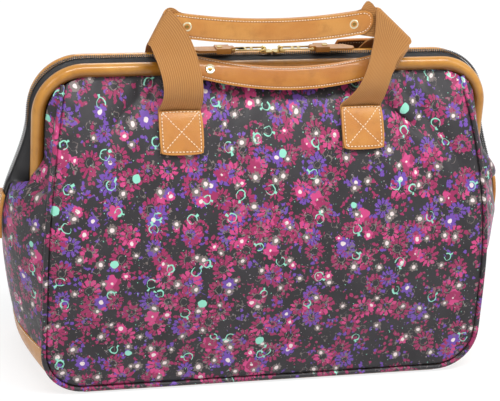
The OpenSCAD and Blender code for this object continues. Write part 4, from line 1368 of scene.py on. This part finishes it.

# %% [markdown]
# ## Luggage tag
# A leather tag lies against the back handle's right webbing. Its dark brown is partly its own colour and partly
# painted shade, as it lies in shadow behind the frame. It has a turned tan edge and a row of stitches, and a
# narrow strap holds it.

# %% Tag
TAG_W, TAG_H, TAG_T, TAG_D, TAG_X = 56, 36, 3, 32, 112
tag_off = WEB_T/2 + 0.6 + TAG_T/2


def tag_spot(a, b, h):
    return TAG_X - TAG_W/2*a*(1 - 0.07*a*a*b*b), TAG_D + TAG_H/2*b*(1 - 0.1*a*a*b*b), h


bm, _ = shaped_grid(22, 16, lambda u, v: drape(1, *tag_spot(2*u - 1, 2*v - 1, tag_off)),
                    lambda u, v: (u*TAG_W, v*TAG_H))
sheet_piece("tag_leather", "luggage_tag", bm, dark_leather, "dark_leather", TAG_T*0.9, 0.8)
path = border((-0.97, -0.97), (0.97, 0.97), 14, 14)
rim = [drape(1, *tag_spot(a, b, tag_off)) for a, b in path[:-1]]
finish_piece("tag_rim", cord_mesh(rim, 1.5, closed=True, sides=3), edge_leather, "dark_leather")
for word, h, facing in (("outer", tag_off + TAG_T/2, 1), ("inner", tag_off - TAG_T/2, -1)):
    run = draped_run(1, [tag_spot(a*0.87, b*0.81, h) for a, b in path], facing)
    sew(f"tag_thread_{word}", [run], step=3.0, length=1.7, width=0.7, slot="dark_leather")

# %% [markdown]
# ## Metal and the rest of the solids
# The sliders, pulls, tabs and rivets have true shapes already. A copy with its loose triangles merged takes a
# small bevel, which catches the light along every edge.

# %% Bevelled copies
def eased_copy(node, name, material, slot, width=0.25, body="bag"):
    bm = bmesh.new()
    bm.from_mesh(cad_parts[node].data)
    bmesh.ops.remove_doubles(bm, verts=bm.verts, dist=1e-6)
    bmesh.ops.dissolve_limit(bm, angle_limit=math.radians(1), verts=bm.verts, edges=bm.edges)
    soften(finish_piece(name, bm, material, slot, node, body=body, smooth=False), width, 2, 35)


for _, hand in ENDS:
    eased_copy(f"slider_{hand}", f"zip_slider_{hand}", pale_gold, "gold_metal", body=f"slider_{hand}")
    eased_copy(f"pull_{hand}", f"zip_pull_{hand}", pale_gold, "gold_metal", 0.35, f"pull_{hand}")
    eased_copy(f"pull_tab_{hand}", f"leather_pull_{hand}", tab_leather, "tan_leather", 1.0, f"tab_{hand}")
# The tag's strap shares the tag leather, which is partly painted shade.
eased_copy("tag_strap", "tag_loop", dark_leather, "dark_leather", 0.2)
eased_copy("base_panel", "base_leather", tan_leather, "tan_leather", 0.6)
eased_copy("base_board", "inner_board", board_grey, "board", 0.3)


def dress(node, material):
    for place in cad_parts[node].material_slots:
        place.material = material


for _, word in FACES:
    dress(f"frame_cover_{word}", tube_leather)
    dress(f"frame_rod_{word}", rod_steel)
    for _, hand in ENDS:
        dress(f"rivet_{word}_{hand}", rivet_metal)
for _, hand in ENDS:
    dress(f"tab_rivet_{hand}", pale_gold)
    dress(f"hinge_rivet_{hand}", rod_steel)

# %% [markdown]
# ## Finish
# The colours are shown through the Standard view transform. The dressed bag has to stay in the solids'
# box, give or take a stitch.

# %% View transform
bpy.context.scene.view_settings.view_transform = "Standard"
